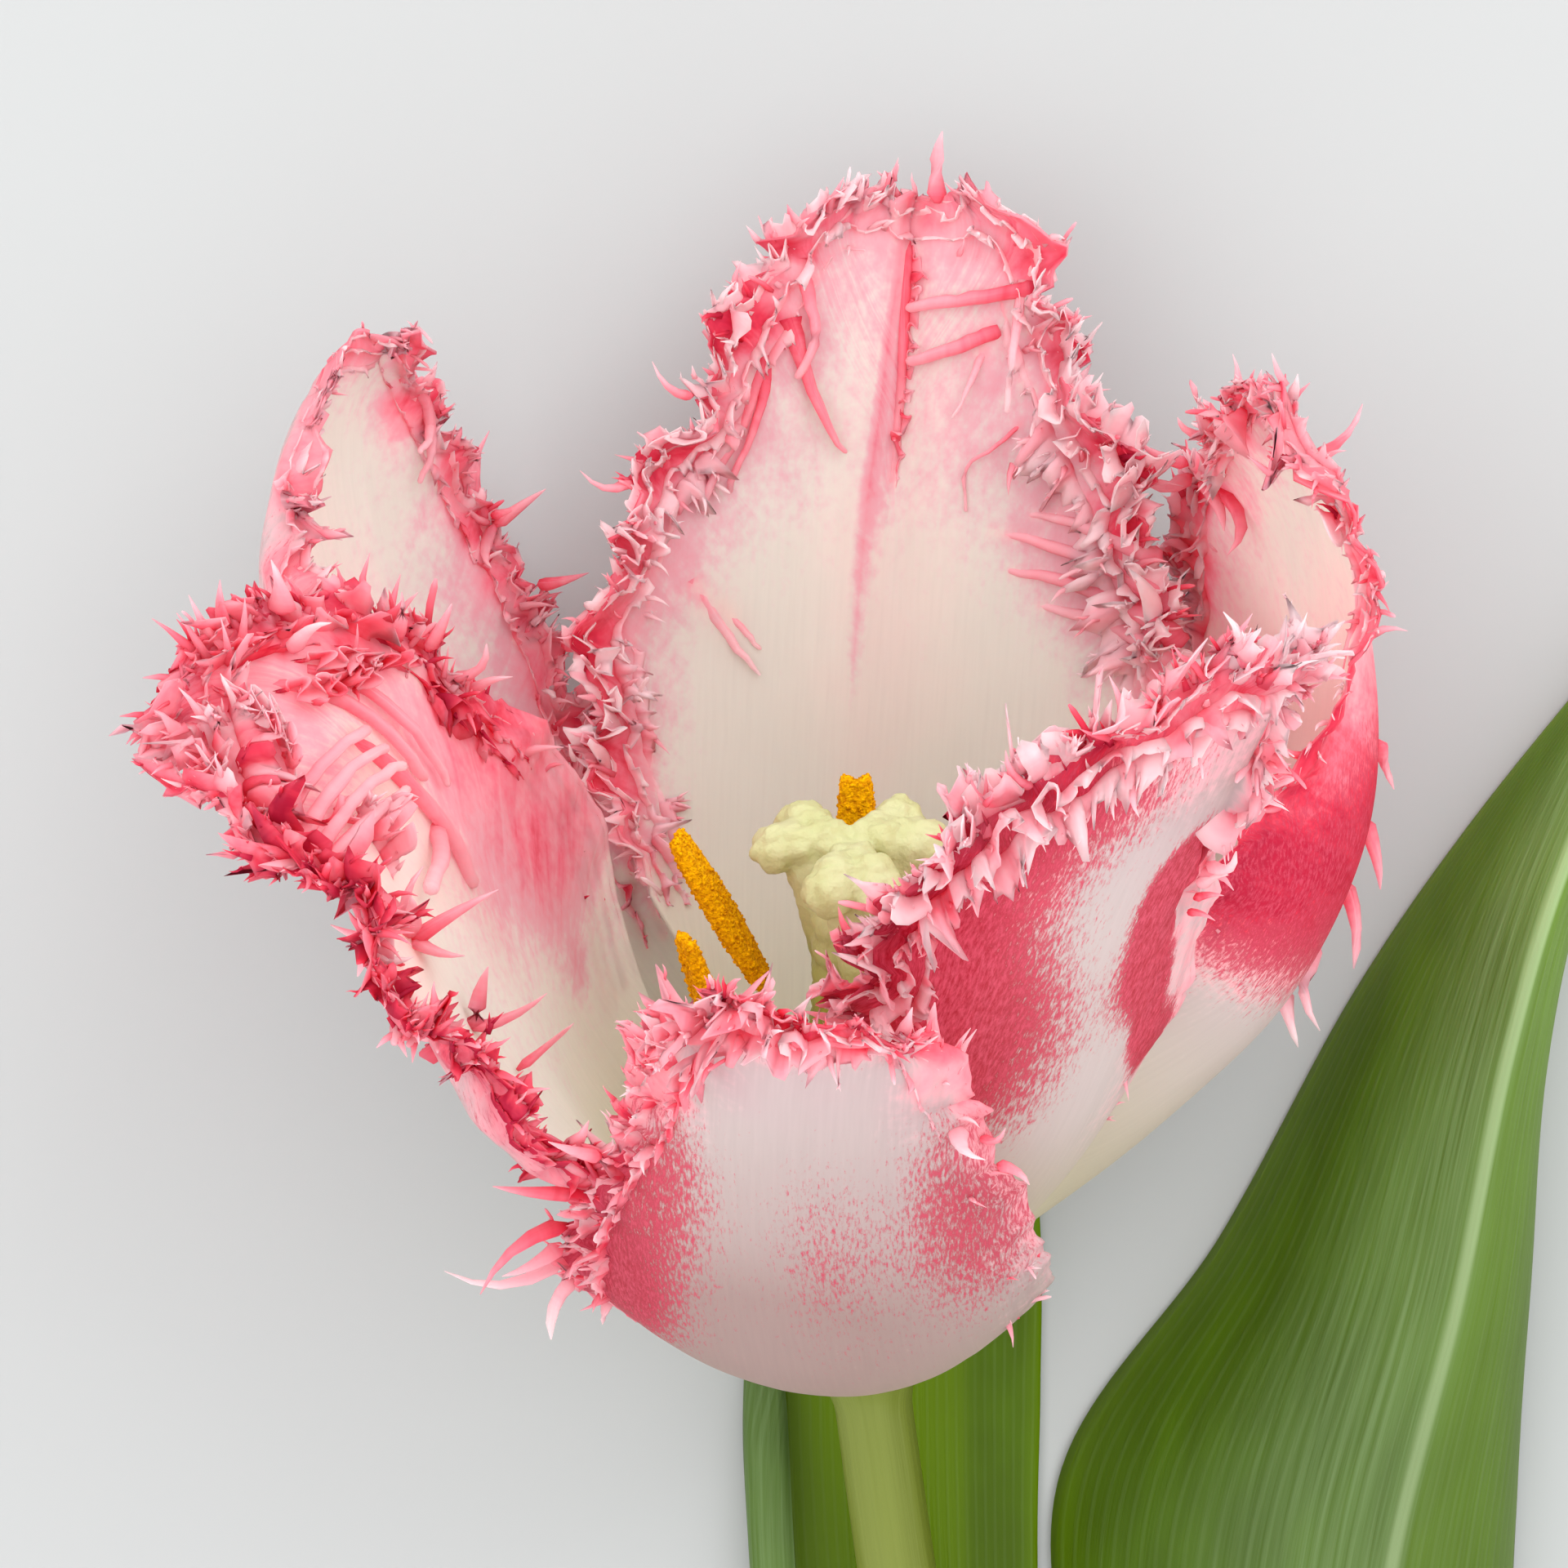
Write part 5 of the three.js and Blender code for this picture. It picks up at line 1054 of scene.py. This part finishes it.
def buildStem(material):
    shape = stemShape
    rows, sides, neckRows = 220, 32, 40
    line = catmull([bloomBase - axis * 1.2, bloomBase - axis * 7 + np.array([0.5, 0, 0])]
                   + [bloomPlace + np.array(p) for p in shape["line"]], np.linspace(0, 1, 1200))
    run = lengthAlong(line)
    part = np.concatenate([np.linspace(0, 0.06, neckRows, endpoint=False), np.linspace(0.06, 1, rows - neckRows)])
    centres = between(part * run[-1], run, line)
    neck = 1 - smooth(part, 0, 0.035)
    radius = shape["radius"] + shape["thicker"] * np.minimum(1, part * 1.1) + neck * shape["receptacle"]
    tangent = unit(np.gradient(centres, axis=0))
    aside = unit(np.cross(tangent, np.array([0, 0.05, 1.0])))
    over = np.cross(aside, tangent)
    angle = np.linspace(0, 2 * math.pi, sides, endpoint=False)
    a, b = np.meshgrid(part * run[-1], angle, indexing="ij")
    ribs = (shape["ribHeight"] * np.sin(b * shape["ribs"] + 0.5 * np.sin(a * 0.05))
            + shape["lumps"] * softNoise(a, b * 3, 9, 3))
    r = radius[:, None] * (1 + 0.015 * np.cos(3 * b)) + ribs
    grid = (centres[:, None] + aside[:, None] * (np.cos(b) * r)[..., None]
            + over[:, None] * (np.sin(b) * r)[..., None])
    points = [*grid.reshape(-1, 3), centres[0] + axis * shape["dome"], centres[-1]]
    uv = np.vstack([np.stack([b * 3, a], -1).reshape(-1, 2), [0, 0], [0, 0]])
    cutMark = np.concatenate([np.zeros(rows * sides), [0, 1]])
    # one side of the stem is painted lighter and the other darker: painted light and painted shade
    sunny = np.append((0.5 + 0.5 * np.cos(b - 1.1)).ravel(), [0.5, 0.5])
    obj = meshObject("stem_round", points, ringFaces(rows, sides), {"cut": cutMark, "sunny": sunny}, uv)
    obj.data.materials.append(material)
    return obj


def leafGrid(guides, strips, rows, floor):
    # middle surface of a leaf, nowhere lower than floor
    share = np.linspace(0, 1, rows)
    at = lambda points, s: catmull([bloomPlace + np.array(p) for p in points], s)
    ends = [at(g, share) for g in guides]
    ahead = [at(g, np.minimum(share + 0.01, 1)) for g in guides]
    behind = [at(g, np.maximum(share - 0.01, 0)) for g in guides]
    columns = [ends[0]]
    for k, (steps, bulge) in enumerate(strips):
        across = ends[k + 1] - ends[k]
        along = ahead[k] - behind[k] + ahead[k + 1] - behind[k + 1]
        over = unit(np.cross(across, along))
        raised = through(bulge)(share)
        for m in range(1, steps + 1):
            part = m / steps
            columns.append(ends[k] + across * part + over * (raised * 4 * part * (1 - part))[:, None])
    grid = np.stack(columns, 1)
    grid[..., 2] = np.maximum(grid[..., 2], floor)
    return grid


# guides: lines from base to tip that the leaf is spanned between, in mm from the bloom's place.
# strips: between two guides, the number of columns and the bulge in mm from base to tip. rib: column of the midrib.
# fresh and waxy: bright green and waxy bloom, from the first guide, 0, to the last, 1.
leaves = {
    "leaf_under": {
        "guides": [
            [[4.6, -176, 6.8], [3.4, -160, 4], [1.6, -140, 1.8], [0.8, -110, 2.8], [-0.6, -75, 3.8],
             [-3, -40, 4.0], [-4.5, -18, 3.8], [-5.2, -7, 2.2], [-6.2, 4, 0.6], [-5.6, 18, 0.4],
             [-2.6, 32, 0.4], [1.9, 45, 0.4]],
            [[4.3, -176, 4.8], [3.2, -160, 2.4], [0.6, -140, 0.8], [-0.9, -110, 0.5], [-2.6, -75, 0.4],
             [-5.4, -40, 0.4], [-7.2, -18, 0.4], [-7.8, -7, 0.4], [-7.4, 4, 0.4], [-6.2, 18, 0.4],
             [-3, 32, 0.4], [1.7, 45.2, 0.4]],
            [[8.4, -176, 0.4], [8.8, -160, 0.4], [9, -140, 0.4], [8.6, -110, 0.4], [7.2, -75, 0.4],
             [4.6, -40, 0.4], [3.2, -18, 0.4], [2.8, -7, 0.4], [2.6, 4, 0.4], [2.5, 18, 0.4],
             [2.4, 32, 0.4], [2.4, 46, 0.4]],
            [[12.7, -176, 4.8], [13.9, -160, 2.4], [16, -140, 0.7], [17, -110, 0.4], [15.4, -75, 0.4],
             [12.8, -40, 0.4], [12.2, -18, 0.4], [12.4, -7, 0.4], [12.4, 4, 0.4], [11, 18, 0.4],
             [7.6, 32, 0.4], [3.1, 45.2, 0.4]]],
        "strips": [(8, [[0, -0.3], [0.2, -0.9], [0.6, -1.4], [0.7, 0], [1, 0]]),
                   (14, [[0, -1.5], [0.08, -1.3], [0.16, 0], [1, 0]]),
                   (14, [[0, -1.5], [0.08, -1.3], [0.16, 0], [1, 0]])],
        "rib": 22,
        "fresh": [[0, 0], [0.2, 0], [0.25, 0.85], [0.6, 0.95], [0.76, 0.8], [0.82, 0.3], [0.94, 0.25], [1, 0.6]],
        "waxy": [[0, 0.75], [0.19, 0.65], [0.24, 0.05], [1, 0]],
    },
    "leaf_right": {
        "guides": [
            [[5.9, -146, 6.2], [5.8, -130, 6.4], [8.6, -108, 8.6], [13.6, -84, 6.6], [15.2, -58, 2.2],
             [14.8, -32, 0.7], [13.9, -13, 0.4], [24.9, 3.3, 0.4], [34.4, 20.5, 0.4], [42.2, 31.8, 0.4],
             [57.4, 50.4, 0.6]],
            [[12.4, -146, 6.9], [12.8, -130, 7.3], [16.4, -108, 9.8], [24, -84, 12], [30.5, -56, 12.6],
             [33.8, -36, 12.4], [35.7, -18, 13], [40, 0, 15.4], [43.5, 16.5, 14.4], [47.6, 29.1, 10.4],
             [58, 50, 1.6]],
            [[13.1, -146, 1.9], [13.8, -130, 2], [20, -107, 2], [31.5, -80, 0.6], [39.5, -52, 0.4],
             [43.6, -32, 0.4], [44.8, -16, 0.4], [45.4, 0, 0.4], [46.2, 15.5, 0.4], [49.4, 28.5, 0.4],
             [58.6, 49.6, 0.6]]],
        "strips": [(22, [[0, 1.5], [0.1, 1.5], [0.25, 1.2], [0.6, 2], [1, 0.3]]),
                   (14, [[0, 0.9], [0.1, 0.9], [0.25, 1.4], [0.6, 2.2], [1, 0.3]])],
        "rib": 22,
        "fresh": [[0, 0.8], [0.03, 0.35], [0.1, 0.12], [0.3, 0.05], [0.6, 0.05], [0.64, 0.3], [0.9, 0.3], [1, 0.7]],
        "waxy": [[0, 0.02], [0.2, 0.04], [0.35, 0.4], [0.5, 0.8], [0.61, 0.85], [0.64, 0.4], [1, 0.2]],
    },
}


leafRows, leafThickness, leafLength = 170, 0.62, 230    # mm


def buildLeaf(name, spec, material):
    rows, thickness = leafRows, leafThickness
    grid = leafGrid(spec["guides"], spec["strips"], rows, thickness / 2 + 0.03)
    columns = grid.shape[1]
    step = np.linalg.norm(np.diff(grid, axis=1), axis=-1)
    u = np.concatenate([np.zeros((rows, 1)), np.cumsum(step, 1)], 1)
    u = u - u[:, spec["rib"]][:, None]
    place = np.linspace(0, 1, rows)[:, None] + 0 * u
    v = place * leafLength
    normal = gridNormals(grid)
    points = np.vstack([(grid + side * normal * thickness / 2).reshape(-1, 3) for side in (1, -1)])
    points[:, 2] = np.maximum(points[:, 2], tableGap)
    part = np.arange(columns)[None, :] / (columns - 1) + 0 * u
    obj = meshObject("blade_" + name, points, sheetFaces(rows, columns),
                     {"place": both(place), "part": both(part), "acrossMm": both(u),
                      "fresh": both(through(spec["fresh"])(part)), "waxy": both(through(spec["waxy"])(part))},
                     np.stack([both(u), both(v)], -1))
    obj.data.materials.append(material)
    return obj


leafLook = {"dark": "344A00", "mid": "496804", "fresh": "6A8900", "waxy": "708955", "vein": "8EA273",
            "roughness": 0.42, "ior": 1.42, "translucency": 0.22, "depth": 0.05, "shine": 0.2}


def leafMaterial():
    # a waxy bloom greys the green, and parallel veins show as lighter lines
    look = leafLook
    material, tree = newMaterial("tulip leaf, glaucous green")
    uv = addNode(tree, "ShaderNodeUVMap", uv_map="surface")
    read = {n: addNode(tree, "ShaderNodeAttribute", out=2, attribute_name=n)
            for n in ("part", "place", "acrossMm", "fresh", "waxy")}
    # streaks 0.4 mm wide, clouds 8 mm by 30 mm, a vein every 1.2 mm
    thin = addNode(tree, "ShaderNodeMapping", {"Vector": uv, "Scale": (1, 0.012, 1)})
    wide = addNode(tree, "ShaderNodeMapping", {"Vector": uv, "Scale": (0.12, 0.03, 1)})
    streak = addNode(tree, "ShaderNodeTexNoise", {"Vector": thin, "Scale": 2.4, "Detail": 3.0, "Roughness": 0.65})
    cloud = addNode(tree, "ShaderNodeTexNoise", {"Vector": wide, "Scale": 1.0, "Detail": 3.0, "Roughness": 0.6})
    count = addNode(tree, "ShaderNodeMath", (read["part"], 230.0), operation="MULTIPLY")
    count = addNode(tree, "ShaderNodeMath", (cloud, 4.0, count), operation="MULTIPLY_ADD")
    vein = addNode(tree, "ShaderNodeMath", (count,), operation="SINE")
    vein = addNode(tree, "ShaderNodeMapRange", {0: vein, 1: 0.2, 2: 1.0}, interpolation_type="SMOOTHSTEP")
    share = addNode(tree, "ShaderNodeMapRange", {0: cloud, 1: 0.25, 2: 0.75}, interpolation_type="SMOOTHSTEP")
    grey = addNode(tree, "ShaderNodeMapRange", {0: streak, 1: 0.3, 2: 0.7, 3: 0.25, 4: 1.0})
    grey = addNode(tree, "ShaderNodeMath", (grey, read["waxy"]), operation="MULTIPLY", use_clamp=True)
    light = addNode(tree, "ShaderNodeMath", (vein, streak), operation="MULTIPLY")
    light = addNode(tree, "ShaderNodeMath", (light, 0.11), operation="MULTIPLY")
    away = addNode(tree, "ShaderNodeMath", (read["acrossMm"],), operation="ABSOLUTE")
    rib = addNode(tree, "ShaderNodeMapRange", {0: away, 1: 0.75, 2: 0.15, 4: 0.75}, interpolation_type="SMOOTHSTEP")
    light = addNode(tree, "ShaderNodeMath", (light, rib), operation="MAXIMUM")
    colour = linear(look["dark"])
    for amount, over in ((share, "mid"), (read["fresh"], "fresh"), (grey, "waxy"), (light, "vein")):
        colour = addNode(tree, "ShaderNodeMix", {0: amount, 6: colour, 7: linear(look[over])}, 2, data_type="RGBA")
    # the upper leaf is younger and paler
    paler = addNode(tree, "ShaderNodeMapRange", {0: read["place"], 1: 0.64, 2: 0.88, 3: 1.0, 4: 1.55})
    colour = addNode(tree, "ShaderNodeMix", {0: 1.0, 6: colour, 7: paler}, 2, data_type="RGBA", blend_type="MULTIPLY")
    height = addNode(tree, "ShaderNodeMath", (vein, 0.25, streak), operation="MULTIPLY_ADD")
    finishMaterial(tree, colour, look, colour, height)
    return material


# shade and light are the stem's green in painted shade and in painted light
stemLook = {"shade": "555F0D", "light": "6E7832", "cutFace": "A2AA78", "roughness": 0.42, "ior": 1.42,
            "depth": 0.1, "shine": 0.25}


def stemMaterial():
    look = stemLook
    material, tree = newMaterial("tulip stem, smooth pale green")
    uv = addNode(tree, "ShaderNodeUVMap", uv_map="surface")
    read = {n: addNode(tree, "ShaderNodeAttribute", out=2, attribute_name=n) for n in ("sunny", "cut")}
    # taut skin with a soft sheen; streaks 0.6 mm wide run the length of the stem
    streaks = addNode(tree, "ShaderNodeMapping", {"Vector": uv, "Scale": (1.2, 0.02, 1)})
    vein = addNode(tree, "ShaderNodeTexNoise", {"Vector": streaks, "Scale": 1.4, "Detail": 3.0, "Roughness": 0.6})
    offset = addNode(tree, "ShaderNodeMath", (vein, 0.5), operation="SUBTRACT")
    # sunny mixes in the light green on one side as painted light, the shade green elsewhere as painted shade
    share = addNode(tree, "ShaderNodeMath", (offset, 0.9, read["sunny"]), operation="MULTIPLY_ADD", use_clamp=True)
    colour = linear(look["shade"])
    for amount, over in ((share, "light"), (read["cut"], "cutFace")):
        colour = addNode(tree, "ShaderNodeMix", {0: amount, 6: colour, 7: linear(look[over])}, 2, data_type="RGBA")
    finishMaterial(tree, colour, look, height=vein)
    return material


# Pistil and stamens

def ballPoints(centre, direction, long, wide, rings=10, sides=14):
    # closed ball stretched along direction, with its faces
    direction = unit(np.asarray(direction, float))
    aside = unit(np.cross(direction, [0.31, 0.2, 0.93]))
    over = np.cross(direction, aside)
    points = []
    for i in range(1, rings):
        polar = math.pi * i / rings
        for k in range(sides):
            a = 2 * math.pi * k / sides
            points.append(centre + direction * math.cos(polar) * long
                          + (aside * math.cos(a) + over * math.sin(a)) * math.sin(polar) * wide)
    return points + [centre + direction * long, centre - direction * long], ringFaces(rings - 1, sides)


def melted(obj, voxel, passes):
    # overlapping closed forms become one skin
    remesh = obj.modifiers.new("melt", "REMESH")
    remesh.mode, remesh.voxel_size = "VOXEL", voxel * mm
    soften = obj.modifiers.new("soften", "SMOOTH")
    soften.iterations, soften.factor = passes, 0.5
    return bake(obj)


# column: height and radius of the three-sided ovary. arms: degrees of the stigma's arms, each forked at its end
# by twice the degrees of fork. reach and top: how far out and how high they are. crimp: relief of their rims, in mm.
pistilShape = {
    "column": [(2.8, 2.1), (4, 2.5), (6, 2.9), (8, 3.1), (10, 3.3), (12, 3.4), (14, 3.4), (16, 3.4), (18, 3.4),
               (20, 3.35), (22, 3.3), (24, 3.2), (26, 3.1), (28, 3.05), (30, 3.0)],
    "arms": (30, 150, 270), "fork": 19, "reach": 4.9, "top": 34.4, "crimp": 0.16}


def buildPistil(material):
    shape = pistilShape
    parts = []
    for height, radius in shape["column"]:
        for degrees in (0, 120, 240):
            parts.append(ballPoints(bloomPoint(degrees, 0.55, height), axis, 1.9, radius - 0.45))
    for middle in shape["arms"]:
        for split in (-shape["fork"], shape["fork"]):
            for along in np.linspace(0.15, 1, 6):
                degrees = middle + split * (0.35 + 0.65 * along)
                high = shape["top"] + 1.3 * math.sin(along * 2.6) - 0.6 * along
                fat = 0.95 + 0.85 * along
                wave = 0.35 * math.sin(9 * along + middle)
                parts.append(ballPoints(bloomPoint(degrees, shape["reach"] * along, high + wave),
                                        outwardAt(degrees), fat, fat))
        for low in np.linspace(0, 1, 6):
            parts.append(ballPoints(bloomPoint(middle, 2.6 + 1.4 * low * (middle == 270), 33.6 - 6.2 * low),
                                    axis, 2.0 - 0.7 * low, 2.2 - 1.3 * low))
    obj = meshObject("pistil_skin", *gather(parts))
    melted(obj, 0.26, 4)
    points = pointsOf(obj) / mm
    high = (points - bloomBase) @ axis
    x, y, z = points.T
    crimp = shape["crimp"] * smooth(high, 27, 32) * (softNoise(x + z, y, 0.9, 5) + softNoise(x, y - z, 0.5, 6))
    movePoints(obj, (points + pointsOf(obj, "normal") * crimp[:, None]) * mm)
    layer = obj.data.attributes.new("stigma", "FLOAT", "POINT")
    layer.data.foreach_set("value", smooth(high, 24, 32.5))
    obj.data.materials.append(material)
    return obj


pistilLook = {"ovary": ("8F9430", "A9AC4C"), "stigma": ("CACE86", "E2E0B6"), "roughness": 0.4, "ior": 1.42,
              "translucency": 0.2, "depth": 0.12}


def pistilMaterial():
    # moist and a little grainy: the grain is 0.5 mm, the patches of colour 3 mm
    look = pistilLook
    material, tree = newMaterial("stigma and ovary, moist pale green")
    place = addNode(tree, "ShaderNodeTexCoord", out="Object")
    grain = addNode(tree, "ShaderNodeTexNoise", {"Vector": place, "Scale": 2200.0, "Roughness": 0.6})
    patch = addNode(tree, "ShaderNodeTexNoise", {"Vector": place, "Scale": 300.0})
    low, top = (addNode(tree, "ShaderNodeMix", {0: patch, 6: linear(dark), 7: linear(light)}, 2, data_type="RGBA")
                for dark, light in (look["ovary"], look["stigma"]))
    stigma = addNode(tree, "ShaderNodeAttribute", out=2, attribute_name="stigma")
    colour = addNode(tree, "ShaderNodeMix", {0: stigma, 6: low, 7: top}, 2, data_type="RGBA")
    finishMaterial(tree, colour, look, colour, grain)
    return material


# each stamen: degrees around the bloom, then radius and height in mm of the anther's lower and upper end
stamens = [(164, [6.4, 24.3], [11.8, 34.2]), (206, [8.8, 19.5], [12.2, 31.6]), (87, [6.6, 23.5], [8.4, 35.4]),
           (30, [6.4, 19], [9.2, 31]), (330, [6.8, 17.5], [9.8, 29.5]), (268, [7.6, 15.5], [11.6, 26.5])]
# pattern: lumps of colour in a metre. grains: pollen grains on a square metre. size: radius of a grain in mm.
pollenLook = {"dark": "CC8400", "light": "FFBE00", "pattern": 3200.0, "grains": 5e6, "size": 0.13,
              "roughness": 0.85, "ior": 1.45, "depth": 0.3, "shine": 0.1}
filamentLook = {"dark": "E0DCA8", "light": "F0EDC8", "pattern": 700.0, "roughness": 0.45, "ior": 1.4,
                "translucency": 0.15, "depth": 0.1}


def pollenTree():
    # grains all over an anther
    tree, given = newTree("pollen", [
        ("Geometry", "NodeSocketGeometry", None), ("Density", "NodeSocketFloat", 1.0),
        ("Grain", "NodeSocketFloat", 0.1), ("Seed", "NodeSocketInt", 1), ("Material", "NodeSocketMaterial", None)])
    points = addNode(tree, "GeometryNodeDistributePointsOnFaces",
                     {"Mesh": given["Geometry"], "Density": given["Density"], "Seed": given["Seed"]},
                     distribute_method="RANDOM")
    grain = addNode(tree, "GeometryNodeMeshIcoSphere", {"Radius": given["Grain"], "Subdivisions": 1})
    size = addNode(tree, "FunctionNodeRandomValue", {2: 0.6, 3: 1.4, "Seed": given["Seed"]}, 1, data_type="FLOAT")
    placed = addNode(tree, "GeometryNodeInstanceOnPoints", {"Points": points, "Instance": grain, "Scale": size})
    return endTree(tree, given, placed)


def buildStamens(pollen, stalk):
    made = []
    grains = pollenTree()
    for i, (turn, low, high) in enumerate(stamens):
        lower, upper = bloomPoint(turn, *low), bloomPoint(turn, *high)
        direction = unit(upper - lower)
        aside = unit(np.cross(direction, outwardAt(turn)))
        parts = []
        for sign in (-1, 1):
            for part in np.linspace(0.04, 0.96, 12):
                fat = 0.82 * math.sin(math.pi * (0.12 + 0.76 * part)) ** 0.4
                parts.append(ballPoints(lower + (upper - lower) * part + aside * sign * 0.62, direction,
                                        1.1, fat, 8, 10))
        obj = meshObject(f"anther_{i + 1}_pollen", *gather(parts))
        melted(obj, 0.3, 3)
        applyTree(obj, grains, {"Density": pollenLook["grains"], "Grain": pollenLook["size"] * mm, "Seed": i,
                                "Material": pollen})
        made.append((obj, f"anther_{i + 1}", "anther"))
        foot, top = bloomPoint(turn, 3.05, 2.5), lower + direction * 0.4
        bow = (foot + top) / 2 + outwardAt(turn) * 0.4
        line = [[*p, r] for p, r in ((foot, 0.64), (foot * 0.6 + bow * 0.4, 0.72), (bow, 0.75),
                                     (bow * 0.5 + top * 0.5, 0.62), (top, 0.3))]
        stalkPoints, stalkFaces, _ = tube(line, 1.0, 14)
        thread = meshObject(f"filament_{i + 1}_stalk", stalkPoints, stalkFaces)
        thread.data.materials.append(stalk)
        made.append((thread, f"filament_{i + 1}", "filament"))
    return made


def pollenMaterial():
    # dry powder, so it hardly shines
    look = pollenLook
    material, tree = newMaterial("pollen, golden grains")
    place = addNode(tree, "ShaderNodeTexCoord", out="Object")
    grain = addNode(tree, "ShaderNodeTexNoise", {"Vector": place, "Scale": look["pattern"], "Roughness": 0.6})
    share = addNode(tree, "ShaderNodeMapRange", {0: grain, 1: 0.35, 2: 0.65})
    colour = addNode(tree, "ShaderNodeMix", {0: share, 6: linear(look["dark"]), 7: linear(look["light"])}, 2,
                     data_type="RGBA")
    finishMaterial(tree, colour, look, height=grain)
    return material


def filamentMaterial():
    # fleshy and a little lit through
    look = filamentLook
    material, tree = newMaterial("filament, pale and fleshy")
    place = addNode(tree, "ShaderNodeTexCoord", out="Object")
    grain = addNode(tree, "ShaderNodeTexNoise", {"Vector": place, "Scale": look["pattern"]})
    colour = addNode(tree, "ShaderNodeMix", {0: grain, 6: linear(look["dark"]), 7: linear(look["light"])}, 2,
                     data_type="RGBA")
    finishMaterial(tree, colour, look, colour, grain)
    return material


# Make everything

petal = petalMaterial()
fingers = fingerShapes()
fringe = fringeTree()
for name, spec in tepals.items():
    obj = tepalBlade(name, {**tepalDefaults, **spec})
    applyTree(obj, fringe, {**fringeSizes, "Fingers": fingers, "Seed": spec["seed"], "Material": petal})
    aboveFloor(obj)
    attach(obj, "root")
    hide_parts(name)
    print("petal", name, len(obj.data.polygons), flush=True)
for obj in list(fingers.objects):
    bpy.data.objects.remove(obj)
bpy.data.collections.remove(fingers)

leafGreen = leafMaterial()
pieces = [(buildLeaf(name, spec, leafGreen), name, "leaf") for name, spec in leaves.items()]
print("leaves made", flush=True)
pieces += [(buildStem(stemMaterial()), "stem", "stem"), (buildPistil(pistilMaterial()), "pistil", "pistil")]
print("stem and pistil made", flush=True)
pieces += buildStamens(pollenMaterial(), filamentMaterial())
print("stamens made", flush=True)
for obj, node, slot in pieces:
    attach(obj, "root")
    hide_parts(node)

# Camera, floor and light

# the camera looks straight down on the bloom; lengths in mm
view = {"place": (-11.03, 105.65, 613), "lens": 204.5, "sensor": 36}
floorLook = {"half": 1500, "colour": "B1B3B3", "roughness": 0.95, "ior": 1.45}
skyStrength = 1.68

cameraData = bpy.data.cameras.new("camera")
cameraData.lens, cameraData.sensor_width = view["lens"], view["sensor"]
cameraData.clip_end = 10
camera = bpy.data.objects.new("camera", cameraData)
camera.location = [c * mm for c in view["place"]]
scene.collection.objects.link(camera)
scene.camera = camera

half = floorLook["half"]
floor = meshObject("floor", [[-half, -half, 0], [half, -half, 0], [half, half, 0], [-half, half, 0]], [[0, 1, 2, 3]])
floorMaterial, tree = newMaterial("pale floor, matt")    # even, without a highlight
finishMaterial(tree, linear(floorLook["colour"]), floorLook)
floor.data.materials.append(floorMaterial)

world = bpy.data.worlds.new("soft light")
world.use_nodes = True
background = world.node_tree.nodes["Background"].inputs
background["Color"].default_value = (1, 1, 1, 1)
background["Strength"].default_value = skyStrength
scene.world = world


def areaLight(name, place, target, size, power):
    # a square light that points at target; lengths in m, power in W
    data = bpy.data.lights.new(name, "AREA")
    data.shape, data.size, data.energy = "SQUARE", size, power
    obj = bpy.data.objects.new(name, data)
    obj.location = place
    obj.rotation_euler = (Vector(target) - Vector(place)).to_track_quat("-Z", "Y").to_euler()
    scene.collection.objects.link(obj)


bloomMiddle = (-0.006, 0.1, 0.03)    # m
areaLight("key light", (0.9, 1.2, 1.5), bloomMiddle, 1.2, 9)
areaLight("fill light", (-1.2, -0.2, 1.5), bloomMiddle, 1.4, 5)
scene.view_settings.view_transform = "Standard"
